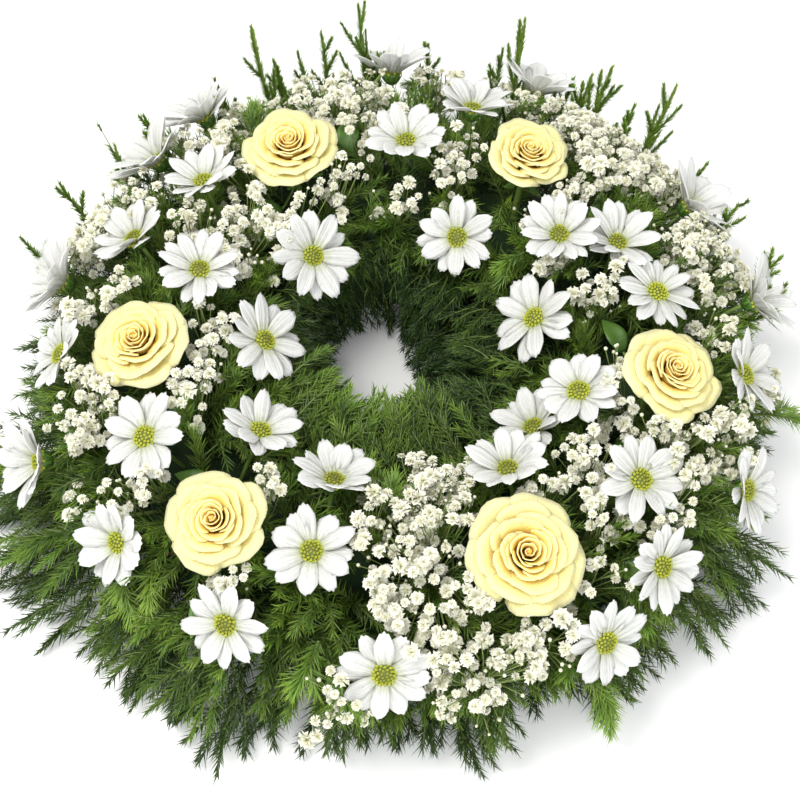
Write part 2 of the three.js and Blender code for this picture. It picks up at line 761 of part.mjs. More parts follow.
function boughPieces(number) {
  const middle = (360 / BOUGHS) * (number + 0.5);
  const crossing = crossingAngle(middle);
  const spine = CROSSING.map(([radius, height]) => around(crossing, radius, height));
  const foot = around(crossing, PEG_RADIUS, PEG_FOOT);
  const top = around(crossing, PEG_RADIUS, PEG_TOP);
  const pieces = [
    rodGeometry(spine, SPRIG_STEM, SHOOT_SIDES),
    rodGeometry(arcPoints(OUTER_ARC, middle), SPRIG_STEM, SHOOT_SIDES),
    rodGeometry(arcPoints(INNER_ARC, middle), SPRIG_STEM, SHOOT_SIDES),
    rodGeometry([foot, top], SPRIG_STEM, STEM_SIDES),
  ];
  const grown = [];
  const grow = (start, heading, bend, step, segments) => {
    const path = shootPath(start, heading, bend, step, segments);
    if (path.length < 3) return;
    pieces.push(shootGeometry(path));
    grown.push(path);
  };
  const back = number < BACK_BOUGHS;
  SHOOTS.filter((shoot) => back || !shoot.backOnly).forEach((shoot, index) => {
    const outer = shoot.arc === OUTER_ARC;
    const at = middle + shoot.side;
    const start = around(at, shoot.arc.radius, shoot.arc.height);
    const rise = shoot.rise + RISE_SCATTER * scatter(number * NUMBERS.bough + index, FOR.rise);
    const heading = direction(at + shoot.yaw, rise);
    if (outer) grow(start, heading, shoot.bend, OUTER_STEP * BOUGH_REACH[number], OUTER_SEGMENTS);
    else grow(start, heading, shoot.bend, INNER_STEP * HOLE_REACH[number], INNER_SEGMENTS);
  });
  const tuft = TUFTS[number % TUFTS.length];
  const tuftStart = around(crossing, tuft.radius, tuft.height);
  grow(tuftStart, direction(crossing + tuft.yaw, tuft.rise), TUFT_BEND, TUFT_STEP, TUFT_SEGMENTS);
  spine.slice(1).forEach((point, index) => takeRod(spine[index], point, SPRIG_STEM));
  grown.forEach((path) => {
    path.slice(1).forEach((point, index) => takeRod(path[index], point, SHOOT_SPARE));
  });
  return { pieces, foot, top };
}

// Assembly

const wreath = new THREE.Group();
const holes = [];

function placed(geometry, place) {
  return geometry.applyQuaternion(place.turn).translate(...place.face.toArray());
}

function stemPoint(place, down) {
  return place.face.clone().addScaledVector(place.axis, -down);
}

function takeHead(place, stemRadius, room) {
  const rise = place.reach * Math.sin(radians(place.cup));
  takeRod(stemPoint(place, place.stem), place.face, stemRadius);
  takeDisc(place.face, place.axis, place.reach * room.wide, place.reach * room.below, room.above + rise);
}

function plant(list, label, makeGeometry, stemRadius, phase, room, look) {
  return list.map((entry, index) => {
    const place = bloomPlace(entry);
    const geometry = placed(makeGeometry(place, index + 1), place);
    takeHead(place, stemRadius, room);
    holes.push(holeGeometry(place, stemRadius, phase));
    const name = `${label}_${String(index + 1).padStart(2, '0')}`;
    return { place, mesh: addMesh(wreath, name, geometry, look) };
  });
}

// The room that a head takes: wide and below for a reach of 1, above in millimetres
const ROSE_ROOM = { wide: 1.04, below: 0.85, above: 5 };
const DAISY_ROOM = { wide: 1.03, below: 0.1, above: 6 };

plant(ROSES, 'rose', roseGeometry, ROSE_STEM, 0, ROSE_ROOM, MATERIALS.rose);
const daisies = plant(
  DAISIES, 'daisy', daisyGeometry, DAISY_STEM, DAISY_PHASE, DAISY_ROOM, MATERIALS.daisy,
);

// One daisy stem is forked and bears a second bloom
const FORKED_DAISY = 21;
const SECOND_BLOOM = [126, 240, 85, 27, 44];
const FORK_DOWN = 44;
const SECOND_STEM = 26;
const FORK_RADIUS = 1.9;
const FORK_LAP = 3;

const forked = daisies[FORKED_DAISY - 1];
const second = { ...bloomPlace(SECOND_BLOOM), stem: SECOND_STEM };
const fork = stemPoint(forked.place, FORK_DOWN);
const bend = stemPoint(second, SECOND_STEM);
forked.mesh.geometry = toGeometry(fuse([
  forked.mesh.geometry,
  placed(daisyGeometry(second, DAISIES.length + 1), second),
  rodGeometry([fork, bend, stemPoint(second, SECOND_STEM - FORK_LAP)], FORK_RADIUS, STEM_SIDES),
]));
takeHead(second, DAISY_STEM, DAISY_ROOM);
takeRod(fork, bend, FORK_RADIUS);

BUNCHES.forEach((entry, index) => {
  const { pieces, foot, hub, way } = bunchPieces(entry, index + 1);
  addMesh(wreath, `gypsophila_${index + 1}`, toGeometry(fuse(pieces)), MATERIALS.gypsophila);
  const below = foot.clone().addScaledVector(way, -FIT_GAP);
  holes.push(rodGeometry([below, hub], GYPSOPHILA_STEM + HOLE_GROWTH, STEM_SIDES));
});

for (let number = 0; number < BOUGHS; number += 1) {
  const { pieces, foot, top } = boughPieces(number);
  addMesh(wreath, `needle_bough_${number + 1}`, toGeometry(fuse(pieces)), MATERIALS.needles);
  const below = foot.clone();
  below.z -= FIT_GAP;
  holes.push(rodGeometry([below, top], SPRIG_STEM + HOLE_GROWTH, STEM_SIDES));
}

const foam = holes.reduce((block, hole) => block.subtract(toSolid(hole)), toSolid(foamGeometry()));
addMesh(wreath, 'foam_ring', toGeometry(foam), MATERIALS.foam);
addMesh(wreath, 'ring_tray', trayGeometry(), MATERIALS.tray);

export default wreath;
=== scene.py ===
"""Looks of a round funeral wreath: roses, daisies, gypsophila and needle greenery on a foam ring."""

import json
import math

import bpy
import numpy as np
from mathutils import Matrix, Vector

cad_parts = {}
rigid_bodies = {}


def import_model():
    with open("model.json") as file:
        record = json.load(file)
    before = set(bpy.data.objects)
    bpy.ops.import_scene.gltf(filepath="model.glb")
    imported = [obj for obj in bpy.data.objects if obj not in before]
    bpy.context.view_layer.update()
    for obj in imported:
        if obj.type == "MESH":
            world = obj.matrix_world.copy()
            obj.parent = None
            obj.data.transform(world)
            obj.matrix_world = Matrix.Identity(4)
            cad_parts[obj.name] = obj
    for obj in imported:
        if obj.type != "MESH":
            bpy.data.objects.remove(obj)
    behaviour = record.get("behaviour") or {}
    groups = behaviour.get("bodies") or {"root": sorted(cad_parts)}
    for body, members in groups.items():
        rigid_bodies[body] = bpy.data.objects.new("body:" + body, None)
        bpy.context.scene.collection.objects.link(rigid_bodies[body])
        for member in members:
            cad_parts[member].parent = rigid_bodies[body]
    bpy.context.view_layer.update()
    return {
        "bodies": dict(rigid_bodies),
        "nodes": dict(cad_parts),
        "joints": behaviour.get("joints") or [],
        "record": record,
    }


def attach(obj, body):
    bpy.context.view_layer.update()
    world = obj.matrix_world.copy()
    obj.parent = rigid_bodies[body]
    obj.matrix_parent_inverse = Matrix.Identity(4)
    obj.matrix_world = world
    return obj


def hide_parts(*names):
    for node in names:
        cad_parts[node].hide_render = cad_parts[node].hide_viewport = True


BODY = "root"
SEED = 2718

# Places shared with the solids, in metres
ROOT_RADIUS = 0.144
ROOT_HEIGHT = 0.018
ROOT_SHORT = 0.022
MOUND_RADIUS = 0.158
MOUND_HALF_WIDTH = 0.105
MOUND_BASE = 0.020
MOUND_RISE = 0.098
FOAM_TOP = 0.053
DISC_TOP = 0.0039

# Roses: degrees round the ring, distance from its axis, height, petal reach, how far open
ROSES = [
    (118, 0.164, 0.122, 0.034, 0.96),
    (58, 0.164, 0.122, 0.032, 0.82),
    (-10, 0.173, 0.122, 0.032, 1.0),
    (-64, 0.170, 0.122, 0.037, 0.96),
    (-129, 0.172, 0.122, 0.031, 1.0),
    (-176, 0.166, 0.122, 0.032, 1.0),
]

# Daisies: the same, but last the degrees that their petals rise by
DAISIES = [
    (66, 0.092, 0.096, 0.026, 10),
    (14, 0.090, 0.094, 0.029, 5),
    (-34, 0.101, 0.090, 0.027, 24),
    (-55, 0.114, 0.106, 0.027, 32),
    (-112, 0.106, 0.098, 0.027, 28),
    (-143, 0.108, 0.098, 0.027, 24),
    (178, 0.088, 0.094, 0.029, 8),
    (131, 0.090, 0.096, 0.029, 8),
    (35, 0.126, 0.116, 0.028, 28),
    (27, 0.160, 0.107, 0.027, 34),
    (11, 0.168, 0.110, 0.026, 5),
    (-21, 0.118, 0.112, 0.026, 8),
    (-35, 0.176, 0.110, 0.027, 8),
    (89, 0.152, 0.112, 0.029, 24),
    (75, 0.188, 0.111, 0.028, 26),
    (139, 0.177, 0.112, 0.028, 28),
    (157, 0.192, 0.104, 0.028, 28),
    (161, 0.138, 0.112, 0.028, 18),
    (-154, 0.172, 0.110, 0.027, 8),
    (-109, 0.156, 0.106, 0.026, 6),
    (138, 0.232, 0.084, 0.029, 44),
    (167, 0.232, 0.084, 0.029, 44),
    (-178, 0.218, 0.092, 0.027, 12),
    (-161, 0.238, 0.080, 0.028, 38),
    (-141, 0.216, 0.090, 0.027, 22),
    (-118, 0.212, 0.092, 0.026, 8),
    (-92, 0.216, 0.092, 0.027, 6),
    (-58, 0.228, 0.084, 0.026, 8),
    (-44, 0.216, 0.094, 0.026, 12),
    (-24, 0.234, 0.084, 0.027, 18),
    (-5, 0.220, 0.094, 0.028, 14),
    (11, 0.240, 0.080, 0.027, 44),
    (31, 0.232, 0.084, 0.028, 44),
    (67, 0.244, 0.080, 0.027, 44),
    (92, 0.240, 0.082, 0.028, 44),
]
# The stem of this daisy is forked and bears a second bloom
FORKED = 21
SECOND_BLOOM = (126, 0.240, 0.085, 0.027, 44)
FORK_DOWN = 0.044
SECOND_STEM = 0.026

# Shades that each vertex carries for the materials: along the piece, across it, tone, and a fourth value, which
# is the painted light and shade of the needles and the ring of a rose's petals
SHADE = "shade"

# The gypsophila bunches: degrees, distance, half spread along the ring and across it, florets
BUNCHES = [
    (47, 0.220, 0.046, 0.030, 215),
    (18, 0.212, 0.034, 0.028, 84),
    (-22, 0.184, 0.032, 0.028, 56),
    (-82, 0.145, 0.036, 0.066, 150),
    (-77, 0.222, 0.034, 0.022, 66),
    (151, 0.228, 0.042, 0.028, 86),
    (104, 0.216, 0.042, 0.030, 110),
    (143, 0.134, 0.034, 0.024, 60),
    (-166, 0.206, 0.028, 0.024, 50),
]
# Smaller sprigs of it between the bunches
SPRIGS = [
    (34, 0.243, 0.026, 0.016, 44),
    (45, 0.240, 0.026, 0.016, 46),
    (56, 0.232, 0.024, 0.018, 42),
    (15, 0.246, 0.022, 0.014, 30),
    (24, 0.226, 0.022, 0.018, 30),
    (64, 0.222, 0.018, 0.016, 22),
    (-2, 0.242, 0.020, 0.014, 24),
    (-34, 0.200, 0.022, 0.018, 26),
    (128, 0.206, 0.024, 0.016, 30),
    (132, 0.232, 0.024, 0.014, 30),
    (112, 0.240, 0.024, 0.012, 26),
    (158, 0.214, 0.022, 0.018, 28),
    (172, 0.214, 0.018, 0.016, 18),
    (170, 0.190, 0.016, 0.014, 14),
    (150, 0.164, 0.020, 0.014, 18),
    (125, 0.158, 0.016, 0.018, 20),
    (98, 0.170, 0.018, 0.018, 20),
    (74, 0.150, 0.018, 0.016, 18),
    (46, 0.160, 0.014, 0.018, 18),
    (-172, 0.128, 0.016, 0.014, 14),
    (-160, 0.140, 0.016, 0.016, 16),
    (-128, 0.136, 0.016, 0.012, 12),
    (-52, 0.140, 0.016, 0.016, 16),
    (-71, 0.092, 0.026, 0.018, 44),
    (-98, 0.130, 0.016, 0.016, 16),
    (-90, 0.180, 0.018, 0.022, 26),
    (158, 0.250, 0.022, 0.010, 20),
    (83, 0.234, 0.020, 0.014, 26),
    (79, 0.246, 0.020, 0.010, 18),
    (120, 0.232, 0.018, 0.014, 16),
    (91, 0.112, 0.018, 0.010, 10),
    (112, 0.130, 0.024, 0.014, 24),
    (130, 0.117, 0.016, 0.012, 16),
    (34, 0.124, 0.020, 0.018, 22),
    (15, 0.130, 0.016, 0.018, 20),
    (-14, 0.150, 0.018, 0.020, 22),
    (-37, 0.150, 0.020, 0.020, 28),
    (-46, 0.176, 0.016, 0.014, 16),
    (-16, 0.218, 0.024, 0.014, 30),
    (-147, 0.181, 0.016, 0.014, 14),
    (-147, 0.206, 0.014, 0.012, 9),
    (177, 0.124, 0.018, 0.014, 18),
    (-122, 0.188, 0.014, 0.012, 8),
    (76, 0.132, 0.014, 0.014, 14),
    (-54, 0.198, 0.014, 0.014, 12),
    (2, 0.200, 0.014, 0.016, 14),
    (-98, 0.232, 0.020, 0.012, 18),
    (-66, 0.214, 0.018, 0.018, 18),
    (-152, 0.222, 0.012, 0.010, 7),
    (148, 0.204, 0.012, 0.012, 10),
    (-102, 0.096, 0.014, 0.010, 7),
]
FLORET_RADIUS = 0.0044
HUB_HEIGHT = 0.072

# How thick daisy petals, sepals and leaves are
SHEET = 0.0005
# How far below its face a daisy's stem ends, and the radius of its disc
DAISY_NECK = 0.0082
DISC_RADIUS = 0.0062
# How high greenery may rise over the inner side of the ring
INNER_TOP = 0.088
# The same shade for a whole rod
PLAIN = (0.5, 0.5, 0.5, 1)
# The angle between two leaves or florets that follow each other in a spiral
GOLDEN = 2.39996

# How far the greenery reaches outwards and into the hole, by degrees round the ring
OUTER_REACH = [
    (0, 0.266), (20, 0.262), (45, 0.262), (90, 0.262), (135, 0.266), (165, 0.284), (193, 0.292), (205, 0.304),
    (214, 0.310), (224, 0.296), (232, 0.286), (239, 0.290), (246, 0.262),
    (258, 0.268), (268, 0.250), (276, 0.262),
    (286, 0.250), (298, 0.258), (309, 0.268), (325, 0.274), (340, 0.272),
]
HOLE_REACH = [
    (0, 0.019), (30, 0.022), (58, 0.032), (76, 0.046), (92, 0.064), (108, 0.074), (125, 0.070), (140, 0.064),
    (155, 0.054), (175, 0.044), (200, 0.041), (225, 0.036), (245, 0.030), (270, 0.025),
    (300, 0.022), (330, 0.019),
]
BOUGHS = 8
# Shoots over each bough's part of the foam, and how many of them stay low
FILLERS = 108
LOW_FILLERS = 46

# Tufts with painted light in the hole's wall: degrees, distance, height and the way they fan out
HOLE_TUFTS = [
    (70, 0.086, 0.050, -110), (78, 0.084, 0.044, -60), (-25, 0.074, 0.048, 200), (20, 0.072, 0.030, 240),
]

# Upright sprigs at the back: degrees and height of the tip, and how thick the sprig looks
UPRIGHTS = [
    (127, 0.112, 1.0), (121, 0.088, 0.8), (114, 0.126, 0.9), (111, 0.086, 1.0),
    (107, 0.088, 0.8), (103, 0.104, 0.9),
    (97, 0.126, 1.5), (94, 0.098, 0.9), (74, 0.092, 0.9), (71, 0.126, 1.2), (68, 0.108, 0.8), (66, 0.100, 1.2),
    (62, 0.084, 0.9), (59, 0.096, 1.0), (56, 0.112, 1.4), (51, 0.088, 0.9), (45, 0.130, 1.2), (36, 0.086, 0.8),
    (27, 0.104, 1.2), (16, 0.092, 1.2), (12, 0.080, 1.0),
    (142, 0.112, 0.8), (152, 0.098, 0.7), (163, 0.100, 0.8),
    (134, 0.090, 1.0), (86, 0.086, 0.9),
]
UPRIGHT_RADIUS = 0.262

# Broad leaves: the number of the rose that bears it, then degrees, distance, height, length, turn
LEAVES = [
    (1, 104, 0.166, 0.088, 0.030, 80), (1, 126, 0.140, 0.086, 0.024, 200), (2, 42, 0.170, 0.084, 0.026, -20),
    (3, 2, 0.146, 0.080, 0.026, 120), (3, -24, 0.150, 0.082, 0.028, -60), (4, -48, 0.192, 0.078, 0.030, -30),
    (5, -140, 0.150, 0.080, 0.026, 160),
    (5, -124, 0.200, 0.076, 0.028, -110), (6, -168, 0.142, 0.084, 0.030, -80),
    (6, -165, 0.196, 0.078, 0.030, -140),
]

# Short reddish-brown twigs low in the greenery: degrees, distance, height, heading
BROWN_TWIGS = [(-137, 0.192, 0.070, 70), (-138, 0.200, 0.066, 10), (-126, 0.204, 0.062, 100)]

# Camera
ELEVATION = 61.5
DISTANCE = 0.905
TARGET = (0.0, -0.021, 0.06)
FOCAL = 1375.0
FRAME_SIDE = 800.0
ROLL = 0.5

random = np.random.default_rng(SEED)


# Small helpers


def unit(vectors):
    return vectors / np.maximum(np.linalg.norm(vectors, axis=-1, keepdims=True), 1e-12)


def turned(out, side, height, turn):
    """Points at a distance out and a step sideways, turned round the z axis."""
    x = out * np.cos(turn) - side * np.sin(turn)
    y = out * np.sin(turn) + side * np.cos(turn)
    return np.stack(np.broadcast_arrays(x, y, height), axis=-1)


def around(degrees, radius, height):
    return turned(radius, 0, height, np.radians(degrees))


def sloped(degrees, tilt):
    """A direction round the ring that rises by tilt degrees."""
    rise = math.radians(tilt)
    return around(degrees, math.cos(rise), math.sin(rise))


def placed(points, frame, origin):
    """Points of a bloom's own frame, in the scene."""
    return (points.reshape(-1, 3) @ frame.T + origin).reshape(points.shape)


def mound_height(radius):
    part = (radius - MOUND_RADIUS) / MOUND_HALF_WIDTH
    return MOUND_BASE + MOUND_RISE * np.sqrt(np.maximum(0, 1 - part * part))


def reach_at(table, degrees):
    places = np.array([row[0] for row in table], float)
    values = np.array([row[1] for row in table], float)
    return np.interp(np.asarray(degrees) % 360, places, values, period=360)


def smooth(low, high, value):
    part = np.clip((value - low) / (high - low), 0, 1)
    return part * part * (3 - 2 * part)


def basis(axis, spin=0.0):
    """Columns x, y and axis of a frame whose z is the axis, turned round it by spin."""
    axis = unit(np.asarray(axis, float))
    helper = np.array([0.0, 1.0, 0.0]) if abs(axis[1]) < 0.9 else np.array([1.0, 0.0, 0.0])
    side = unit(np.cross(helper, axis))
    other = np.cross(axis, side)
    x = math.cos(spin) * side + math.sin(spin) * other
    return np.stack([x, np.cross(axis, x), axis], axis=1)


def bloom_place(degrees, radius, height, reach, last, cupped):
    """Where a bloom stands: its stem's end, its axis, the reach of its petals, its face and its rise."""
    face = around(degrees, radius, height)
    axis = face - around(degrees, ROOT_RADIUS, ROOT_HEIGHT)
    stem = np.linalg.norm(axis) - ROOT_SHORT
    axis = unit(axis)
    end = face - axis * stem
    cup = math.radians(last) if cupped else 0.0
    away = smooth(-0.05, 0.15, face[1])
    raised = smooth(0.5, 0.75, cup) if cupped else 0.6
    axis = unit(axis + away * raised * np.array([0.0, -0.24, 0.20]))
    return {
        "face": face, "axis": axis, "end": end, "reach": reach, "cup": cup,
        "open": 1.0 if cupped else last, "rise": reach * math.sin(cup),
    }


# Meshes


class Piece:
    """Collects points, shades and faces, and makes one object of them."""

    def __init__(self, name, looks):
        self.name = name
        self.looks = looks
        self.points, self.shades, self.count = [], [], 0
        self.faces = {3: [], 4: []}
        self.materials = {3: [], 4: []}
        self.rounded = {3: [], 4: []}

    def add(self, points, faces, shades, look, rounded=True):
        """Adds points (n, 3), faces (m, 3 or 4) and shades (n, 4) or one shade of four numbers."""
        points = np.asarray(points, float).reshape(-1, 3)
        faces = np.asarray(faces, int)
        sides = faces.shape[1]
        shades = np.broadcast_to(np.asarray(shades, float), (len(points), 4))
        self.points.append(points)
        self.shades.append(shades)
        self.faces[sides].append(faces + self.count)
        self.materials[sides].append(np.full(len(faces), self.looks.index(look)))
        self.rounded[sides].append(np.full(len(faces), rounded))
        self.count += len(points)

    def build(self, slot, *replaced):
        points, shades = np.vstack(self.points), np.vstack(self.shades)
        loops, starts, looks, rounded, begin = [], [], [], [], 0
        for sides in (3, 4):
            if self.faces[sides]:
                faces = np.vstack(self.faces[sides])
                loops.append(faces.ravel())
                starts.append(begin + sides * np.arange(len(faces)))
                begin += faces.size
                looks.append(np.concatenate(self.materials[sides]))
                rounded.append(np.concatenate(self.rounded[sides]))
        loops, starts = np.concatenate(loops), np.concatenate(starts)
        mesh = bpy.data.meshes.new(self.name)
        mesh.vertices.add(len(points))
        mesh.vertices.foreach_set("co", points.astype(np.float32).ravel())
        mesh.loops.add(len(loops))
        mesh.loops.foreach_set("vertex_index", loops.astype(np.int32))
        mesh.polygons.add(len(starts))
        mesh.polygons.foreach_set("loop_start", starts.astype(np.int32))
        mesh.polygons.foreach_set("material_index", np.concatenate(looks).astype(np.int32))
        mesh.polygons.foreach_set("use_smooth", np.concatenate(rounded))
        mesh.update(calc_edges=True)
        for look in self.looks:
            mesh.materials.append(MATERIALS[look])
        attribute = mesh.attributes.new(SHADE, "FLOAT_COLOR", "POINT")
        attribute.data.foreach_set("color", shades.astype(np.float32).ravel())
        thing = bpy.data.objects.new(self.name, mesh)
        bpy.context.scene.collection.objects.link(thing)
        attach(thing, BODY)
        if replaced:
            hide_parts(*replaced)
        return thing


def repeated(faces, copies, points):
    """The faces of a form of so many points, numbered on for each of its copies."""
    offsets = np.arange(copies)[:, None, None] * points
    return (faces[None] + offsets).reshape(-1, faces.shape[1])


def grid_faces(rows, columns, wrap=False):
    """Quads of a grid of points numbered row by row."""
    cells = columns if wrap else columns - 1
    row, cell = np.meshgrid(np.arange(rows - 1), np.arange(cells), indexing="ij")
    after = (cell + 1) % columns
    quads = [row * columns + cell, row * columns + after,
             (row + 1) * columns + after, (row + 1) * columns + cell]
    return np.stack(quads, axis=-1).reshape(-1, 4)


def shell_faces(rows, columns):
    """Quads of a thin closed sheet: an upper grid, a lower one and the strip round their edges."""
    upper = grid_faces(rows, columns)
    size = rows * columns
    edge = np.concatenate([
        np.arange(columns - 1),
        np.arange(rows - 1) * columns + columns - 1,
        size - 1 - np.arange(columns - 1),
        (rows - 1 - np.arange(rows - 1)) * columns,
    ])
    after = np.roll(edge, -1)
    strip = np.stack([after, edge, edge + size, after + size], axis=-1)
    return np.vstack([upper, upper[:, ::-1] + size, strip])


def add_sheets(piece, grids, thickness, shades, look, outer=None):
    """Adds thin closed petals from a stack of point grids: stack, rows, columns, 3.

    The outer side may have shades of its own.
    """
    stack, rows, columns, _ = grids.shape
    normal = unit(np.cross(np.gradient(grids, axis=2), np.gradient(grids, axis=1)))
    taper = np.ones((rows, columns))
    taper[:, [0, -1]] = 0.4
    taper[-1, :] = 0.4
    half = normal * (thickness / 2 * taper)[None, :, :, None]
    points = np.concatenate([grids + half, grids - half], axis=1).reshape(stack, -1, 3)
    faces = repeated(shell_faces(rows, columns), stack, points.shape[1])
    both = np.concatenate([shades if outer is None else outer, shades], axis=1).reshape(-1, 4)
    piece.add(points, faces, both, look)


def add_lathe(piece, frame, origin, profile, sides, shades, look, wave=0.0):
    """Adds a turned form about the frame's axis from (radius, height) pairs."""
    angles = np.linspace(0, 2 * math.pi, sides, endpoint=False)
    radius = np.array([row[0] for row in profile])[:, None]
    radius = radius * (1 + wave * np.cos(5 * angles))[None]
    height = np.array([row[1] for row in profile])[:, None]
    points = placed(turned(radius, 0, height, angles), frame, origin)
    piece.add(points, grid_faces(len(profile), sides, wrap=True), shades, look)


def add_rods(piece, paths, radii, sides, shades, look):
    """Adds tapered rods along paths: stack, points, 3, with one radius for each point of a path."""
    paths = np.asarray(paths, float)
    stack, count, _ = paths.shape
    way = unit(np.gradient(paths, axis=1))
    side = unit(np.cross(way, np.array([0.31, 0.23, 0.92]) + 0 * way))
    other = np.cross(way, side)
    angles = np.linspace(0, 2 * math.pi, sides, endpoint=False)
    radii = np.broadcast_to(np.asarray(radii, float), (stack, count))[:, :, None, None]
    rings = paths[:, :, None] + radii * (
        np.cos(angles)[None, None, :, None] * side[:, :, None]
        + np.sin(angles)[None, None, :, None] * other[:, :, None]
    )
    faces = repeated(grid_faces(count, sides, wrap=True), stack, count * sides)
    piece.add(rings, faces, shades, look)


# Materials

MATERIALS = {}


class Look:
    """A material with a Principled shader, and short ways to add and link its nodes."""

    def __init__(self, name, roughness, **sockets):
        material = bpy.data.materials.new(name)
        material.use_nodes = True
        self.nodes, self.links = material.node_tree.nodes, material.node_tree.links
        self.shader = self.nodes["Principled BSDF"]
        self.shader.inputs["Roughness"].default_value = roughness
        for socket, value in sockets.items():
            self.shader.inputs[socket.replace("_", " ")].default_value = value
        MATERIALS[name] = material

    def put(self, value, socket):
        """Sets a socket to a number or a colour, or links it."""
        if isinstance(value, tuple):
            socket.default_value = (*value, 1)
        elif isinstance(value, (int, float)):
            socket.default_value = value
        else:
            self.links.new(value, socket)

    def shades(self):
        """The four shades that the vertices carry: along, across, tone, and a fourth, which holds the needles'
        painted light.
        """
        attribute = self.nodes.new("ShaderNodeAttribute")
        attribute.attribute_name = SHADE
        split = self.nodes.new("ShaderNodeSeparateColor")
        self.put(attribute.outputs["Color"], split.inputs["Color"])
        return split.outputs["Red"], split.outputs["Green"], split.outputs["Blue"], attribute.outputs["Alpha"]

    def ramp(self, source, stops):
        node = self.nodes.new("ShaderNodeValToRGB")
        node.color_ramp.interpolation = "EASE"
        while len(node.color_ramp.elements) < len(stops):
            node.color_ramp.elements.new(0.5)
        for element, (place, colour) in zip(node.color_ramp.elements, stops):
            element.position = place
            element.color = (*colour, 1)
        self.put(source, node.inputs["Fac"])
        return node.outputs["Color"]

    def math(self, operation, *values):
        node = self.nodes.new("ShaderNodeMath")
        node.operation = operation
        for index, value in enumerate(values):
            self.put(value, node.inputs[index])
        return node.outputs["Value"]

    def times(self, first, second):
        return self.math("MULTIPLY", first, second)

    def mix(self, factor, first, second):
        node = self.nodes.new("ShaderNodeMix")
        node.data_type = "RGBA"
        self.put(factor, node.inputs["Factor"])
        self.put(first, node.inputs[6])
        self.put(second, node.inputs[7])
        return node.outputs[2]

    def noise(self, scale, detail=3.0, stretch=None):
        node = self.nodes.new("ShaderNodeTexNoise")
        node.inputs["Scale"].default_value = scale
        node.inputs["Detail"].default_value = detail
        source = self.nodes.new("ShaderNodeTexCoord").outputs["Object"]
        if stretch is not None:
            mapping = self.nodes.new("ShaderNodeMapping")
            mapping.inputs["Scale"].default_value = stretch
            self.put(source, mapping.inputs["Vector"])
            source = mapping.outputs["Vector"]
        self.put(source, node.inputs["Vector"])
        return node.outputs["Fac"]

    def colour(self, body):
        self.put(body, self.shader.inputs["Base Color"])

    def bump(self, height, strength, distance):
        node = self.nodes.new("ShaderNodeBump")
        node.inputs["Strength"].default_value = strength
        node.inputs["Distance"].default_value = distance
        self.put(height, node.inputs["Height"])
        self.put(node.outputs["Normal"], self.shader.inputs["Normal"])


def make_petal_materials():
    # White petals with grey lines painted along them as the shade of their grooves, and a green tint where they
    # leave the disc
    look = Look("daisy_petal", 0.55, Specular_IOR_Level=0.3, Subsurface_Weight=0.5,
                Subsurface_Scale=0.0030, Subsurface_Radius=(1.0, 1.0, 0.95))
    along, across, tone, _ = look.shades()
    body = look.ramp(along, [
        (0.0, (0.34, 0.42, 0.12)), (0.14, (0.56, 0.60, 0.40)),
        (0.36, (0.76, 0.76, 0.71)), (1.0, (0.83, 0.83, 0.81)),
    ])
    veins = look.math("SINE", look.times(across, 40.0))
    broad = look.math("SINE", look.times(across, 17.0))
    veins = look.math("MAXIMUM", look.times(veins, 0.6), broad)
    wander = look.noise(380.0, 4.0)
    lines = look.times(look.math("MAXIMUM", veins, 0.0), wander)
    fading = look.math("SUBTRACT", 1.2, along)
    # Painted shade of the grooves, fading towards the tips
    painted_groove_shade = look.times(look.times(lines, fading), 1.2)
    body = look.mix(painted_groove_shade, body, (0.36, 0.37, 0.33))
    body = look.mix(look.times(tone, 0.22), body, (0.62, 0.63, 0.56))
    look.colour(body)
    look.bump(veins, 0.5, 0.0003)

    # Tiny florets of the daisies' discs: near black at their feet and in their pits as painted shade,
    # lime-yellow at their tops
    look = Look("daisy_disc", 0.6)
    along, across, tone, _ = look.shades()
    body = look.ramp(along, [
        (0.0, (0.070, 0.100, 0.006)), (0.45, (0.28, 0.35, 0.018)), (1.0, (0.62, 0.66, 0.050)),
    ])
    body = look.mix(across, body, (0.09, 0.10, 0.010))
    body = look.mix(look.times(tone, 0.5), body, (0.60, 0.58, 0.08))
    look.colour(body)
    look.bump(look.noise(2200.0), 0.4, 0.0002)

    # Rose petals: cream rims over golden to orange-brown lower parts, partly the petals' own deeper colour at
    # their base and partly painted shade in the folds between them
    look = Look("rose_petal", 0.5, Specular_IOR_Level=0.3, Subsurface_Weight=0.35,
                Subsurface_Scale=0.0020, Subsurface_Radius=(1.0, 0.85, 0.45))
    along, across, _, ring = look.shades()
    heart = look.ramp(along, [
        (0.0, (0.60, 0.24, 0.010)), (0.55, (0.82, 0.42, 0.030)), (0.80, (0.92, 0.62, 0.12)),
        (0.93, (0.94, 0.77, 0.28)),
        (1.0, (0.95, 0.84, 0.42)),
    ])
    # Outer petals: greenish at the base, with a golden band that is partly painted shade inside the cup
    outer = look.ramp(along, [
        (0.0, (0.60, 0.58, 0.20)), (0.45, (0.82, 0.56, 0.10)), (0.70, (0.90, 0.72, 0.23)),
        (0.88, (0.90, 0.79, 0.34)),
        (1.0, (0.86, 0.79, 0.43)),
    ])
    body = look.mix(ring, heart, outer)
    patches = look.times(look.noise(70.0), 0.3)
    body = look.mix(patches, body, (0.90, 0.82, 0.42))
    look.colour(body)
    fibres = look.math("SINE", look.times(across, 130.0))
    height = look.math("ADD", look.times(fibres, 0.3), look.noise(240.0))
    look.bump(height, 0.4, 0.0004)

    # Gypsophila
    look = Look("floret", 0.7, Specular_IOR_Level=0.25)
    along, _, tone, _ = look.shades()
    body = look.ramp(along, [
        (0.0, (0.26, 0.32, 0.11)), (0.35, (0.68, 0.68, 0.48)),
        (0.8, (0.88, 0.87, 0.76)), (1.0, (0.91, 0.90, 0.82)),
    ])
    body = look.mix(look.times(tone, 0.4), body, (0.70, 0.68, 0.46))
    look.colour(body)
    look.bump(look.noise(1200.0), 0.3, 0.0002)


